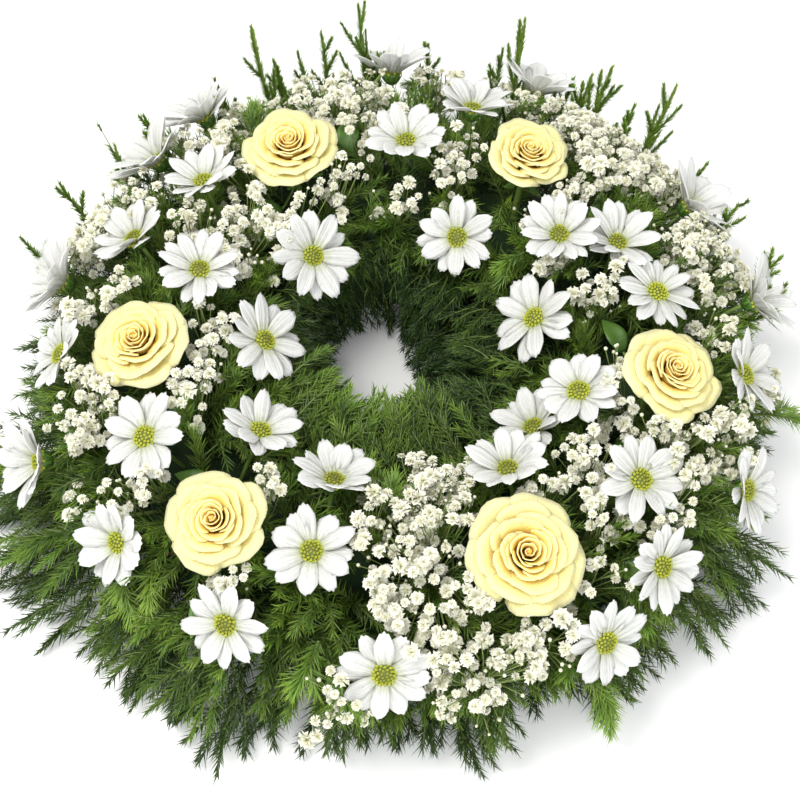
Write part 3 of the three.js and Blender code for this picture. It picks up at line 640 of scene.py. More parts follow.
def make_green_materials():
    # Calyxes, leaves and flower stems
    look = Look("leaf", 0.45)
    along, _, _, _ = look.shades()
    body = look.ramp(along, [
        (0.0, (0.06, 0.14, 0.020)), (0.6, (0.10, 0.22, 0.030)), (1.0, (0.15, 0.30, 0.045)),
    ])
    ribs = look.math("SINE", look.times(along, 50.0))
    body = look.mix(look.times(look.noise(300.0), 0.4), body, (0.05, 0.12, 0.02))
    look.colour(body)
    height = look.math("ADD", look.times(ribs, 0.3), look.noise(700.0))
    look.bump(height, 0.35, 0.0003)

    look = Look("stem", 0.5)
    body = look.mix(look.noise(160.0, 3.0, (1, 1, 0.15)), (0.09, 0.18, 0.025), (0.22, 0.33, 0.07))
    look.colour(body)
    look.bump(look.noise(500.0, 3.0, (1, 1, 0.1)), 0.3, 0.0003)

    look = Look("twig", 0.6)
    body = look.mix(look.noise(240.0), (0.16, 0.24, 0.05), (0.34, 0.42, 0.14))
    look.colour(body)

    # Needles: darker at their feet and lighter at their tips, near black where they carry painted shade deep in
    # the greenery, and lighter with painted light on the outer shoots
    look = Look("needle", 0.42, Specular_IOR_Level=0.4)
    along, _, tone, painted_light = look.shades()
    # Near-black colours for needles in painted shade, then brighter ones for needles in painted light
    painted_dark = look.ramp(along, [(0.0, (0.006, 0.014, 0.003)), (1.0, (0.022, 0.052, 0.008))])
    light = look.ramp(along, [
        (0.0, (0.05, 0.11, 0.010)), (0.5, (0.16, 0.32, 0.024)), (1.0, (0.40, 0.58, 0.08)),
    ])
    body = look.mix(painted_light, painted_dark, light)
    # A yellow tint of random strength, only where the needles carry painted light: a painted highlight
    body = look.mix(look.times(look.times(tone, 0.45), painted_light),
               body, (0.48, 0.60, 0.09))
    body = look.mix(look.times(look.noise(45.0), 0.35), body, (0.05, 0.13, 0.020))
    look.colour(body)

    look = Look("shoot", 0.6)
    body = look.mix(look.noise(200.0), (0.07, 0.13, 0.02), (0.20, 0.26, 0.06))
    look.colour(body)

    look = Look("brown_twig", 0.6)
    body = look.mix(look.noise(260.0), (0.10, 0.025, 0.010), (0.24, 0.07, 0.03))
    look.colour(body)


def make_base_materials():
    # The foam's own green is made near black here: painted shade for the gaps between the shoots
    look = Look("foam", 0.95)
    body = look.mix(look.noise(900.0, 5.0), (0.008, 0.022, 0.006), (0.025, 0.060, 0.016))
    look.colour(body)
    look.bump(look.noise(1500.0, 5.0), 0.8, 0.0008)

    look = Look("tray", 0.45)
    body = look.mix(look.noise(60.0), (0.010, 0.030, 0.014), (0.016, 0.045, 0.022))
    look.colour(body)
    look.bump(look.noise(900.0), 0.2, 0.0003)

    look = Look("floor", 0.9)
    body = look.mix(look.noise(3.0), (0.95, 0.95, 0.94), (0.97, 0.97, 0.96))
    look.colour(body)


# Daisies


def daisy_petals(count, reach, cup, half_width):
    """A stack of petal grids about the z axis, with their shades."""
    across = np.array([-1, -0.64, -0.32, 0, 0.32, 0.64, 1.0])
    along = np.array([0, 0.16, 0.36, 0.57, 0.75, 0.89, 1.0])
    t, s = across[None, None, :], along[None, :, None]
    layer = (np.arange(count) % 2)[:, None, None]
    spread = lambda low, high: random.uniform(low, high, (count, 1, 1))
    start = 0.0050
    length = reach * (spread(0.99, 1.12) - 0.05 * layer) - start
    width = half_width * spread(0.84, 1.16)
    middle = 2 * math.pi * (np.arange(count)[:, None, None] + spread(-0.24, 0.24)) / count
    notch = 0.034 * np.cos(spread(2.0, 3.4) * math.pi * t + spread(-0.5, 0.5)) * s**5
    run = s * (1 - 0.15 * np.abs(t) ** 2.6 * s**2) + notch * (1 - t**2)
    wide = 0.50 + 0.50 * np.sin(0.5 * math.pi * np.minimum(s / 0.66, 1))
    wide = wide * (1 - 0.30 * smooth(0.70, 1.0, s) ** 1.4)
    side = width * wide * t
    slope = cup + spread(-0.17, 0.15) + 0.05 * (1 - layer)
    bend = 0.42 + spread(-0.26, 0.30)
    first, there = slope + bend / 2, slope + bend * (0.5 - run)
    out = start + length * (np.sin(first) - np.sin(there)) / bend
    height = length * (np.cos(there) - np.cos(first)) / bend
    furrow = np.exp(-(((np.abs(t) - 0.32) / 0.13) ** 2))
    groove = furrow * 0.0009 * np.sin(math.pi * np.minimum(s * 1.05 + 0.04, 1))
    camber = 0.0016 * spread(-0.8, 1.2) * t**2 * np.sin(math.pi * s * 0.8)
    twist = spread(-0.42, 0.42) * side * s
    lift = twist - groove - camber + 0.0012 * (1 - layer)
    out = out - lift * np.sin(there)
    height = height + lift * np.cos(there)
    grids = turned(out, side, height, middle)
    tone = spread(0, 1) ** 2
    shades = np.stack(np.broadcast_arrays(s, 0.5 + 0.5 * t, tone, np.ones_like(tone)), axis=-1)
    return grids, np.broadcast_to(shades, grids.shape[:3] + (4,))


def add_daisy_disc(piece, frame, face):
    """A low dome with tiny florets in a spiral."""
    radius, sink = DISC_RADIUS, 0.0002
    profile = [(radius * math.sin(a), DISC_TOP * math.cos(a) - sink) for a in np.linspace(1.62, 0.02, 7)]
    # The dome under the florets takes the darkest colour: painted shade between the florets
    add_lathe(piece, frame, face, profile, 14, (0.0, 0.2, 0.2, 1), "daisy_disc")
    count = 60
    order = np.arange(count) + 0.5
    polar = 1.5 * np.sqrt(order / count)
    turn = order * GOLDEN
    place = turned(radius * np.sin(polar), 0, DISC_TOP * np.cos(polar) - sink, turn)
    outward = unit(place * np.array([1, 1, 2.2]) + np.array([0, 0, 0.001]))
    size = 0.00062 + 0.00024 * polar / 1.5
    tall = 0.0007 + 0.0010 * smooth(0.4, 1.3, polar) * random.uniform(0.6, 1.3, count)
    side = unit(np.cross(outward, np.array([0.2, 0.1, 1.0]) + 0 * outward))
    other = np.cross(outward, side)
    angles = np.linspace(0, 2 * math.pi, 5, endpoint=False)
    ring = np.cos(angles)[None, :, None] * side[:, None] + np.sin(angles)[None, :, None] * other[:, None]
    low = place[:, None] + ring * (size * 0.8)[:, None, None] - outward[:, None] * 0.0004
    high = place[:, None] + ring * (size * 1.15)[:, None, None] + (outward * tall[:, None])[:, None]
    pit = (place + outward * (tall * 0.55)[:, None])[:, None]
    points = np.concatenate([low, high, pit], axis=1)
    sides = np.arange(5)
    after = (sides + 1) % 5
    quads = np.stack([sides, after, after + 5, sides + 5], axis=-1)
    tris = np.stack([sides + 5, after + 5, np.full(5, 10)], axis=-1)
    bright = smooth(0.3, 1.35, polar)
    murk = random.uniform(0.1, 0.8)
    # Floret feet and pits take low values along the colour ramp: painted shade between and inside the florets
    along = np.tile(np.repeat([0.15, 1.0, 0.35], [5, 5, 1]), (count, 1))
    across = np.broadcast_to(murk * (1 - bright)[:, None], along.shape)
    tone = np.broadcast_to((random.uniform(0, 1, count) * (0.3 + 0.7 * bright))[:, None], along.shape)
    shades = np.stack([along, across, tone, np.ones_like(along)], axis=-1).reshape(-1, 4)
    world = placed(points, frame, face)
    for faces in (quads, tris):
        piece.add(world, repeated(faces, count, 11), shades, "daisy_disc", False)


def stem_path(end, head, bow):
    """A stem from inside the foam to a flower's head, with a slight bow."""
    part = np.linspace(0, 1, 7)[:, None]
    side = unit(np.cross(head - end, [0.3, 0.4, 0.8]))
    return end + (head - end) * part + side * bow * np.sin(math.pi * part)


def add_daisy(piece, place, path):
    """Petals, disc, cup with bracts and stem of one daisy."""
    face, axis, reach = place["face"], place["axis"], place["reach"]
    frame = basis(axis, random.uniform(0, 2 * math.pi))
    count = int(random.integers(11, 15))
    raised = smooth(0.5, 0.75, place["cup"])
    half_width = (1.20 + 0.22 * raised) * math.pi * 0.70 * reach / count
    grids, shades = daisy_petals(count, reach * (1 + 0.20 * raised), place["cup"] - 0.20 * raised, half_width)
    add_sheets(piece, placed(grids, frame, face), SHEET, shades, "daisy_petal")
    add_daisy_disc(piece, frame, face)
    cup = [
        (0.0016, -0.0085), (0.0024, -0.0078), (0.0046, -0.0052),
        (0.0062, -0.0022), (0.0066, -0.0004), (0.0052, 0.0002),
    ]
    add_lathe(piece, frame, face, cup, 14, PLAIN, "leaf", 0.03)
    bracts = 10
    part = np.array([0, 0.5, 1.0])[None, :, None]
    t = np.array([-1, 0, 1.0])[None, None, :]
    middle = 2 * math.pi * np.arange(bracts)[:, None, None] / bracts
    out = 0.0030 + 0.0050 * part + 0 * middle + 0 * t
    side = 0.0017 * (1 - 0.75 * part**2) * t
    height = -0.0074 + 0.0066 * part**1.3 - 0.0004 * t**2
    bract = turned(out, side, height, middle)
    shade = np.broadcast_to(np.array([0.7, 0.5, 0.5, 1.0]), bract.shape[:3] + (4,))
    add_sheets(piece, placed(bract, frame, face), 0.0004, shade, "leaf")
    add_rods(piece, path[None], 0.0015, 7, PLAIN, "stem")


def make_daisy(name, place, second):
    piece = Piece(name + "_fine", ["daisy_petal", "daisy_disc", "leaf", "stem"])
    head = place["face"] - place["axis"] * DAISY_NECK
    add_daisy(piece, place, stem_path(place["end"], head, random.uniform(-0.0015, 0.0015)))
    if second is not None:
        fork = place["face"] - place["axis"] * FORK_DOWN
        bend = second["face"] - second["axis"] * SECOND_STEM
        head = second["face"] - second["axis"] * DAISY_NECK
        part = np.linspace(0, 1, 8)[:, None]
        path = (1 - part) ** 2 * fork + 2 * part * (1 - part) * bend + part**2 * head
        add_daisy(piece, second, path)
    return piece.build("daisy", name)


# Roses


def rose_ring(start, core, foot, top, half, flare, hinge, slant, point, wave, rows, columns):
    """A stack of cupped petals for a reach of 1, with their parts along and across."""
    start = np.atleast_1d(np.asarray(start, float))
    count = len(start)
    column = lambda value: np.broadcast_to(np.asarray(value, float), (count,))[:, None, None]
    start, core, foot, top, half = column(start), column(core), column(foot), column(top), column(half)
    flare, slant = column(flare), column(slant)
    phase = random.uniform(0, 2 * math.pi, (count, 1, 1))
    phase2 = random.uniform(0, 2 * math.pi, (count, 1, 1))
    u = np.linspace(-1, 1, columns)[None, None, :]
    v = (np.linspace(0, 1, rows) ** 0.7)[None, :, None]
    e = np.abs(u)
    lean = np.clip((v - hinge) / (1 - hinge), 0, 1)
    out = core * (0.60 + 0.40 * np.sin(0.5 * math.pi * np.minimum(v / 0.55, 1)))
    out = out + flare * lean**1.5 * (1 - 0.30 * e**4)
    out = out + slant * u * (0.3 + 0.7 * v)
    out = out + point * (1 - e) ** 1.6 * lean**2
    out = out + wave * (np.sin(3.6 * u + phase) + 0.4 * np.sin(9 * u + phase2)) * lean
    height = foot + (top - foot) * v
    height = height - 0.34 * flare * lean**5 - 0.16 * (top - foot) * e**4 * lean
    height = height + wave * (np.cos(4.4 * u + phase2) + 0.4 * np.cos(10 * u + phase)) * lean
    turn = start + half * u * (0.45 + 0.55 * v**0.5) * (1 - 0.08 * smooth(0.85, 1.0, v))
    grids = turned(out, 0, height, turn)
    return grids, np.broadcast_to(v, grids.shape[:3]), np.broadcast_to(0.5 + 0.5 * u, grids.shape[:3])


def add_leaf(piece, foot, joint, length, degrees):
    """A pointed leaf with a fold along its middle, on a short stalk."""
    s = np.linspace(0, 1, 9)[:, None]
    t = np.linspace(-1, 1, 7)[None, :]
    aim = unit(around(degrees, 1.0, 0.35))
    side = unit(np.cross([0, 0, 1.0], aim))
    up = np.cross(aim, side)
    wide = 0.30 * length * np.sin(math.pi * np.minimum(0.06 + 0.94 * s, 1)) ** 0.8 * (1 - 0.25 * s)
    arch = 0.12 * length * np.sin(math.pi * s) - 0.20 * length * s**2
    fold = 0.22 * wide * np.abs(t) + 0.03 * wide * np.cos(9 * s + 4 * t)
    grid = (joint + aim * (s * length)[:, :, None] + side * (wide * t)[:, :, None]
            + up * (arch + fold + 0 * t)[:, :, None])
    shade = np.stack(np.broadcast_arrays(s, 0.5 + 0.5 * t, 0.5, 1.0), axis=-1)
    add_sheets(piece, grid[None], SHEET, shade[None], "leaf")
    bend = (foot + joint) / 2 + np.array([0, 0, -0.004])
    part = np.linspace(0, 1, 6)[:, None]
    path = (1 - part) ** 2 * foot + 2 * part * (1 - part) * bend + part**2 * joint
    add_rods(piece, path[None], 0.0008, 6, PLAIN, "stem")


def make_rose(name, place, leaves):
    piece = Piece(name + "_fine", ["rose_petal", "leaf", "stem"])
    face, axis, reach, wide = place["face"], place["axis"], place["reach"], place["open"]
    frame = basis(axis, random.uniform(0, 2 * math.pi))

    def add(ring, share, thickness):
        grids, along, across = ring
        shades = np.stack([along, across, np.full(along.shape, 0.5), np.full(along.shape, share)], axis=-1)
        # The outer side of each petal stays paler at its base, so that the painted shade of the folds lies only
        # on the inner faces
        outer = shades.copy()
        outer[..., 0] += (0.35 + 0.50 * share) * (1 - along)
        add_sheets(piece, placed(grids * reach, frame, face), thickness, shades, "rose_petal", outer)

    heart = 12
    order = np.arange(heart) / (heart - 1)
    start = np.arange(heart) * GOLDEN + random.uniform(0, 6) + random.uniform(-0.2, 0.2, heart)
    core = 0.030 + 0.235 * order**0.95
    flare = 0.010 + 0.105 * order**1.2
    half = np.radians(106 - 34 * order)
    top = 0.085 + 0.050 * np.sin(math.pi * order**0.8) + random.uniform(-0.012, 0.012, heart)
    slant = 0.010 + 0.040 * order
    add(rose_ring(start, core, -0.30, top, half, flare, 0.55, slant, 0.0, 0.014, 7, 12), 0.0, 0.0006)
    # A closed bud in the heart, coloured like the golden lower part of the petals, which is partly painted
    # shade
    bud = [(0.062, -0.20), (0.060, 0.0), (0.046, 0.05), (0.022, 0.075), (0.002, 0.082)]
    bud = [(radius * reach, height * reach) for radius, height in bud]
    add_lathe(piece, frame, face, bud, 10, (0.62, 0.5, 0.5, 0.0), "rose_petal")
    spin = random.uniform(0, 6)
    gap = np.zeros(5)
    gap[random.integers(0, 5)] = 0.09
    rings = [
        (0.0, 0.29, -0.46, 0.130, 58, 0.15, 0.50, 0.050, 0.020, 0.018, 0.2),
        (0.7, 0.34, -0.58, 0.100, 54, 0.26, 0.48, 0.050, 0.030, 0.024, 0.45),
        (1.2, 0.39, -0.70, 0.20 - 0.15 * wide, 50, 0.41 * wide, 0.45, 0.050, 0.040, 0.030, 0.8),
        (1.8, 0.43, -0.78, 0.34 - 0.40 * wide, 47, 0.555 * wide, 0.42, 0.035, 0.045, 0.034, 1.0),
    ]
    for turn, core, foot, top, half, flare, hinge, slant, point, wave, share in rings:
        start = spin + turn + 2 * math.pi * np.arange(5) / 5 + random.uniform(-0.24, 0.24, 5)
        spread = flare + gap + random.uniform(-0.030, 0.020, 5)
        level = top + random.uniform(-0.030, 0.020, 5)
        half = math.radians(half)
        petals = rose_ring(start, core, foot, level, half, spread, hinge, slant, point, wave, 9, 13)
        add(petals, share, 0.0007)
        gap = np.roll(gap, 2) * 0.6
    core = [
        (0.05, -0.99), (0.10, -0.95), (0.15, -0.90), (0.21, -0.82),
        (0.25, -0.74), (0.25, -0.62), (0.20, -0.45), (0.04, -0.36),
    ]
    core = [(radius * reach, height * reach) for radius, height in core]
    add_lathe(piece, frame, face, core, 12, (0.4, 0.5, 0.5, 1), "leaf", 0.04)
    sepals = 5
    s = np.linspace(0, 1, 7)[None, :, None]
    t = np.array([-1, -0.5, 0, 0.5, 1.0])[None, None, :]
    turn = 2 * math.pi * np.arange(sepals)[:, None, None] / sepals + 0.4
    out = (0.22 + 0.46 * s) * reach + 0 * turn + 0 * t
    side = 0.085 * reach * np.sin(math.pi * np.minimum(0.32 + 0.68 * s, 1)) * t
    height = (-0.80 - 0.10 * np.sin(math.pi * s * 0.9) + 0.12 * s**2) * reach - 0.03 * reach * t**2
    grids = turned(out, side, height, turn)
    shade = np.stack(np.broadcast_arrays(s, 0.5 + 0.5 * t, 0.5, 1.0 + 0 * turn), axis=-1)
    shade = np.broadcast_to(shade, grids.shape[:3] + (4,))
    add_sheets(piece, placed(grids, frame, face), SHEET, shade, "leaf")
    head = face - axis * 0.97 * reach
    path = stem_path(place["end"], head, random.uniform(-0.001, 0.001))
    add_rods(piece, path[None], 0.0026, 9, PLAIN, "stem")
    for degrees, radius, level, length, aim in leaves:
        add_leaf(piece, path[5], around(degrees, radius, level), length, aim)
    return piece.build("rose", name)


# Gypsophila


def floret_template():
    """One frilly double floret of radius 1 that opens towards z: its points, faces and shades."""
    points, faces, shades, count = [], [], [], 0
    for petals, polar, long in ((6, 1.50, 1.0), (6, 1.02, 0.98), (5, 0.62, 0.92), (3, 0.25, 0.86)):
        for petal in range(petals):
            turn = 2 * math.pi * (petal + random.uniform(-0.25, 0.25)) / petals + polar
            tilt = polar + random.uniform(-0.12, 0.12)
            size = long * random.uniform(0.84, 1.06)
            rows = []
            for s, wide, bend in ((0.20, 0.12, 0.0), (1.0, 0.37, 0.18)):
                for t in (-1, 0, 1):
                    notch = 1 - (0.10 if t == 0 else random.uniform(-0.08, 0.10)) * (s == 1.0)
                    away = size * s * notch
                    angle = tilt + bend + 0.16 * (t * t) * s
                    out, up = away * math.sin(angle), away * math.cos(angle)
                    side = wide * t * size + random.uniform(-0.03, 0.03)
                    rows.append((out * math.cos(turn) - side * math.sin(turn),
                                 out * math.sin(turn) + side * math.cos(turn), up - 0.30))
                    shades.append((s, 0.5 + 0.5 * t, random.uniform(0, 0.5), 1))
            points += rows
            faces.append(grid_faces(2, 3) + count)
            count += 6
    points = np.array(points)
    angles = np.linspace(0, 2 * math.pi, 5, endpoint=False)
    low = np.stack([0.10 * np.cos(angles), 0.10 * np.sin(angles), np.full(5, -0.86)], axis=-1)
    high = np.stack([0.30 * np.cos(angles), 0.30 * np.sin(angles), np.full(5, -0.24)], axis=-1)
    cup = grid_faces(2, 5, wrap=True) + count
    points = np.vstack([points, low, high])
    shades = shades + [(0.0, 0.5, 0.2, 1)] * 10
    return points, np.vstack(faces + [cup]), np.array(shades, float)


def bud_template():
    """A closed bud of radius 1, green at its foot and cream at its tip."""
    sides = 5
    angles = np.linspace(0, 2 * math.pi, sides, endpoint=False)
    points, shades = [], []
    rings = ((0.15, -1.0, 0.0), (0.80, -0.25, 0.15), (0.75, 0.45, 0.5), (0.06, 1.0, 0.9))
    for radius, height, along in rings:
        points += [(radius * math.cos(a), radius * math.sin(a), height) for a in angles]
        shades += [(along, 0.5, 0.5, 1)] * sides
    return np.array(points), grid_faces(len(rings), sides, wrap=True), np.array(shades, float)


def near_bloom(points, blooms, share, below, above):
    """True where a point lies in a bloom's face, as a disc of a share of its reach."""
    hit = np.zeros(len(points), bool)
    for bloom in blooms:
        offset = points - bloom["face"]
        height = offset @ bloom["axis"]
        out = np.linalg.norm(offset - height[:, None] * bloom["axis"], axis=1)
        part = np.clip(height / (bloom["rise"] + 1e-6), 0, 1) if bloom["rise"] > 0.006 else 1.0
        wide = bloom["reach"] * (math.cos(bloom["cup"]) * part + 0.3 * (1 - part)) * share
        hit |= (out < wide) & (height > -below) & (height < above + bloom["rise"])
    return hit


def make_bunch(name, spec, blooms, templates, bud, replaced):
    degrees, radius, along, deep, florets = spec
    piece = Piece(name, ["floret", "twig"])
    root = around(degrees, ROOT_RADIUS, ROOT_HEIGHT)
    hub = around(degrees, radius, HUB_HEIGHT)
    way = unit(hub - root)
    foot = root + way * ROOT_SHORT
    buds = florets // 3
    centres = np.zeros((0, 3))
    clump = None
    for _ in range((florets + buds) * 14):
        if len(centres) >= florets + buds:
            break
        out = math.sqrt(random.uniform(0, 1))
        turn = random.uniform(0, 2 * math.pi)
        distance = radius + deep * out * math.sin(turn)
        swing = math.degrees(along * out * math.cos(turn) / radius)
        height = mound_height(distance) - 0.002 + random.uniform(-0.022, 0.010)
        spot = around(degrees + swing, distance, height)
        if clump is not None and random.uniform() < 0.5:
            spot = clump + random.uniform(-0.008, 0.008, 3)
            spot[2] = min(spot[2], mound_height(np.linalg.norm(spot[:2])) + 0.008)
        small = len(centres) >= florets
        close = 0.0042 if small else 0.0060
        crowded = len(centres) and np.min(np.linalg.norm(centres - spot, axis=1)) < close
        covered = near_bloom(spot[None], roses, 0.98, 0.030, 0.020)
        covered |= near_bloom(spot[None], blooms, 0.72, 0.012, 0.014)
        if not crowded and not covered[0]:
            centres = np.vstack([centres, spot])
            clump = spot
    count = len(centres)
    small = np.arange(count) >= florets
    levels = random.integers(0, 6, count)
    nodes = hub - way * (0.004 * levels)[:, None]
    gap = centres - nodes
    facing = unit(unit(gap) + np.array([0, 0, 0.7]) + random.uniform(-0.35, 0.35, (count, 3)))
    size = FLORET_RADIUS * random.uniform(0.62, 1.05, count)
    size = np.where(random.uniform(0, 1, count) < 0.16, size * 1.4, size)
    size = np.where(small, 0.0015 * random.uniform(0.8, 1.2, count), size)
    bend = nodes + gap * 0.55 + np.array([0, 0, -0.004]) + random.uniform(-0.002, 0.002, (count, 3))
    paths = np.stack([nodes, bend, centres - facing * (size * 0.7)[:, None]], axis=1)
    add_rods(piece, paths, np.array([0.0006, 0.00045, 0.0004]), 3, PLAIN, "twig")
    add_rods(piece, stem_path(foot, hub + way * 0.001, 0.001)[None], 0.0013, 6, PLAIN, "twig")
    kinds = np.where(small, len(templates), random.integers(0, len(templates), count))
    frames = np.stack([basis(axis, random.uniform(0, 6.28)) for axis in facing])
    tones = random.uniform(0, 1, count) ** 2
    for kind, (points, faces, shades) in enumerate(templates + [bud]):
        chosen = np.flatnonzero(kinds == kind)
        if not len(chosen):
            continue
        turns = frames[chosen] * size[chosen, None, None]
        world = np.einsum("nij,pj->npi", turns, points) + centres[chosen, None]
        shade = np.broadcast_to(shades, (len(chosen),) + shades.shape).copy()
        shade[:, :, 2] = np.clip(shade[:, :, 2] + tones[chosen, None], 0, 1)
        piece.add(world, repeated(faces, len(chosen), len(points)), shade.reshape(-1, 4), "floret")
    return piece.build("gypsophila", *replaced)


# Greenery

PATH_POINTS = 8


def shoot_points(start, heading, length, droop, sway):
    """A curved shoot from start that sets out along heading."""
    points = [np.asarray(start, float)]
    steps = PATH_POINTS - 1
    way = unit(np.asarray(heading, float))
    side = unit(np.cross(way, [0.05, 0.02, 1.0]))
    for _ in range(steps):
        way = unit(way + np.array([0, 0, -droop / steps]) + side * sway / steps)
        point = points[-1] + way * length / steps
        point[2] = max(point[2], 0.006)
        points.append(point)
    return np.array(points)


def even_path(path):
    """The same path with the usual number of points, evenly spaced."""
    travelled = np.concatenate([[0], np.cumsum(np.linalg.norm(np.diff(path, axis=0), axis=1))])
    places = np.linspace(0, travelled[-1], PATH_POINTS)
    return np.stack([np.interp(places, travelled, path[:, axis]) for axis in range(3)], axis=-1)


class Greenery:
    """Collects the shoots of one bough, then makes their stems and needles at once."""

    def __init__(self, blooms):
        self.blooms = blooms
        self.paths, self.looks = [], []

    def add(self, path, needle, density, spread, painted_dark, light, width=0.0006, ceiling=0.07):
        """Adds a shoot up to where it would enter a bloom, and tells whether it did."""
        hit = near_bloom(path, self.blooms, 0.86, 0.004, 0.02)
        radius = np.linalg.norm(path[:, :2], axis=1)
        mound = mound_height(radius)
        top = np.where(radius < ROOT_RADIUS, np.maximum(mound, INNER_TOP), mound + 0.002)
        hit |= path[:, 2] > np.where(radius < UPRIGHT_RADIUS - 0.025, top, ceiling)
        if hit.any():
            path = path[: int(np.argmax(hit))]
        if len(path) < 3:
            return False
        self.paths.append(even_path(path))
        self.looks.append((needle, density, spread, painted_dark, light, width))
        return True

    def spray(self, start, heading, length, droop, sway, look, branches):
        """A main shoot with side shoots that leave it left and right by turns."""
        path = shoot_points(start, heading, length, droop, sway)
        if not self.add(path, *look):
            return
        for branch in range(branches):
            share = 0.22 + 0.55 * (branch + random.uniform(0, 0.8)) / branches
            at = share * (PATH_POINTS - 1)
            first = int(at)
            foot = path[first] + (path[first + 1] - path[first]) * (at - first)
            way = unit(path[first + 1] - path[first])
            side = unit(np.cross(way, [0.05, 0.02, 1.0]) + random.uniform(-0.4, 0.4, 3))
            turned = 1 if branch % 2 else -1
            aim = way + turned * side * random.uniform(0.40, 0.85) + np.array([0, 0, random.uniform(-0.1, 0.3)])
            long = length * (1 - share) * random.uniform(0.65, 1.0)
            if long > 0.010:
                self.add(shoot_points(foot, aim, long, droop, -turned * random.uniform(0.1, 0.7)), *look)

    def fill(self, piece):
        paths, looks = np.array(self.paths), np.array(self.looks)
        needle, density, spread, painted_dark, light, width = looks.T
        steps = np.linalg.norm(np.diff(paths, axis=1), axis=2)
        total = steps.sum(axis=1)
        count = np.maximum(8, total * 1000 * density).astype(int)
        owner = np.repeat(np.arange(len(paths)), count)
        order = np.arange(len(owner)) - np.repeat(np.cumsum(count) - count, count)
        size = len(owner)
        part = (order + random.uniform(0, 1, size)) / count[owner]
        at = np.minimum(part * (PATH_POINTS - 1), PATH_POINTS - 1.001)
        cell = at.astype(int)
        low, high = paths[owner, cell], paths[owner, cell + 1]
        base = low + (high - low) * (at - cell)[:, None]
        way = unit(high - low)
        side = unit(np.cross(way, np.array([0.11, 0.07, 0.99]) + 0 * way))
        other = np.cross(way, side)
        angle = order * GOLDEN + random.uniform(-0.5, 0.5, size)
        open_angle = spread[owner] * (1 - 0.50 * part**2) * random.uniform(0.75, 1.25, size)
        around_way = np.cos(angle)[:, None] * side + np.sin(angle)[:, None] * other
        aim = np.cos(open_angle)[:, None] * way + np.sin(open_angle)[:, None] * around_way
        aim = unit(aim + random.uniform(-0.12, 0.12, (size, 3)))
        long = needle[owner] * random.uniform(0.70, 1.15, size) * (1 - 0.40 * smooth(0.75, 1.0, part))
        long = long * (0.6 + 0.4 * smooth(0, 0.15, part))
        tip = base + aim * long[:, None]
        keep = tip[:, 2] > 0.0008
        keep &= ~near_bloom(tip, self.blooms, 0.92, 0.002, 0.02)
        keep &= ~near_bloom(base, self.blooms, 0.92, 0.001, 0.02)
        owner, base, tip, aim, part = owner[keep], base[keep], tip[keep], aim[keep], part[keep]
        size = len(owner)
        first = unit(np.cross(aim, np.array([0.3, 0.2, 0.93]) + 0 * aim))
        second = np.cross(aim, first)
        wide = width[owner][:, None] * random.uniform(0.8, 1.2, (size, 1))
        corners = [first, 0.5 * second, -first]
        points = np.stack([base + corner * wide for corner in corners] + [tip], axis=1)
        faces = np.array([[0, 1, 3], [1, 2, 3]])
        shoot_tone = random.uniform(0, 1, len(paths)) ** 2
        tone = np.clip(0.5 * random.uniform(0, 1, size) ** 2 + 0.6 * shoot_tone[owner], 0, 1)
        # Painted light and shade of each needle: painted shade low near the floor outside the ring and deep
        # under the mound's surface, and painted light towards each shoot's end, from its dark level at the foot
        # to its light level, with a random spread
        radius = np.linalg.norm(tip[:, :2], axis=1)
        under = np.minimum(mound_height(radius), 0.110) - tip[:, 2]
        outside = 0.30 + 0.70 * smooth(0.010, 0.050, tip[:, 2])
        open_air_painted_light = np.where(radius > 0.225, outside, 1 - 0.85 * smooth(0.024, 0.062, under))
        # In the hole the needles get painted shade lower down, less of it on the hole's near side
        near = smooth(0.02, -0.04, tip[:, 1])
        darkest_painted_shade = 0.02 + 0.38 * near
        hole_painted_shade = darkest_painted_shade + (1 - darkest_painted_shade) * smooth(0.058 - 0.03 * near, 0.100 - 0.02 * near, tip[:, 2])
        open_air_painted_light = open_air_painted_light * np.where(radius < 0.108, hole_painted_shade, 1.0)
        needle_painted_light = painted_dark[owner] + (light[owner] - painted_dark[owner]) * part + random.uniform(-0.15, 0.15, size)
        needle_painted_light = np.clip(needle_painted_light * open_air_painted_light, 0, 1)
        along = np.array([0, 0, 0, 1.0])[None] + 0 * tone[:, None]
        each = np.broadcast_arrays(along, part[:, None], tone[:, None], needle_painted_light[:, None])
        shades = np.stack(each, axis=-1)
        piece.add(points, repeated(faces, size, 4), shades.reshape(-1, 4), "needle", False)
        add_rods(piece, paths[:, [0, 2, 4, 7]], [0.0010, 0.0008, 0.0006, 0.0003], 3, PLAIN, "shoot")


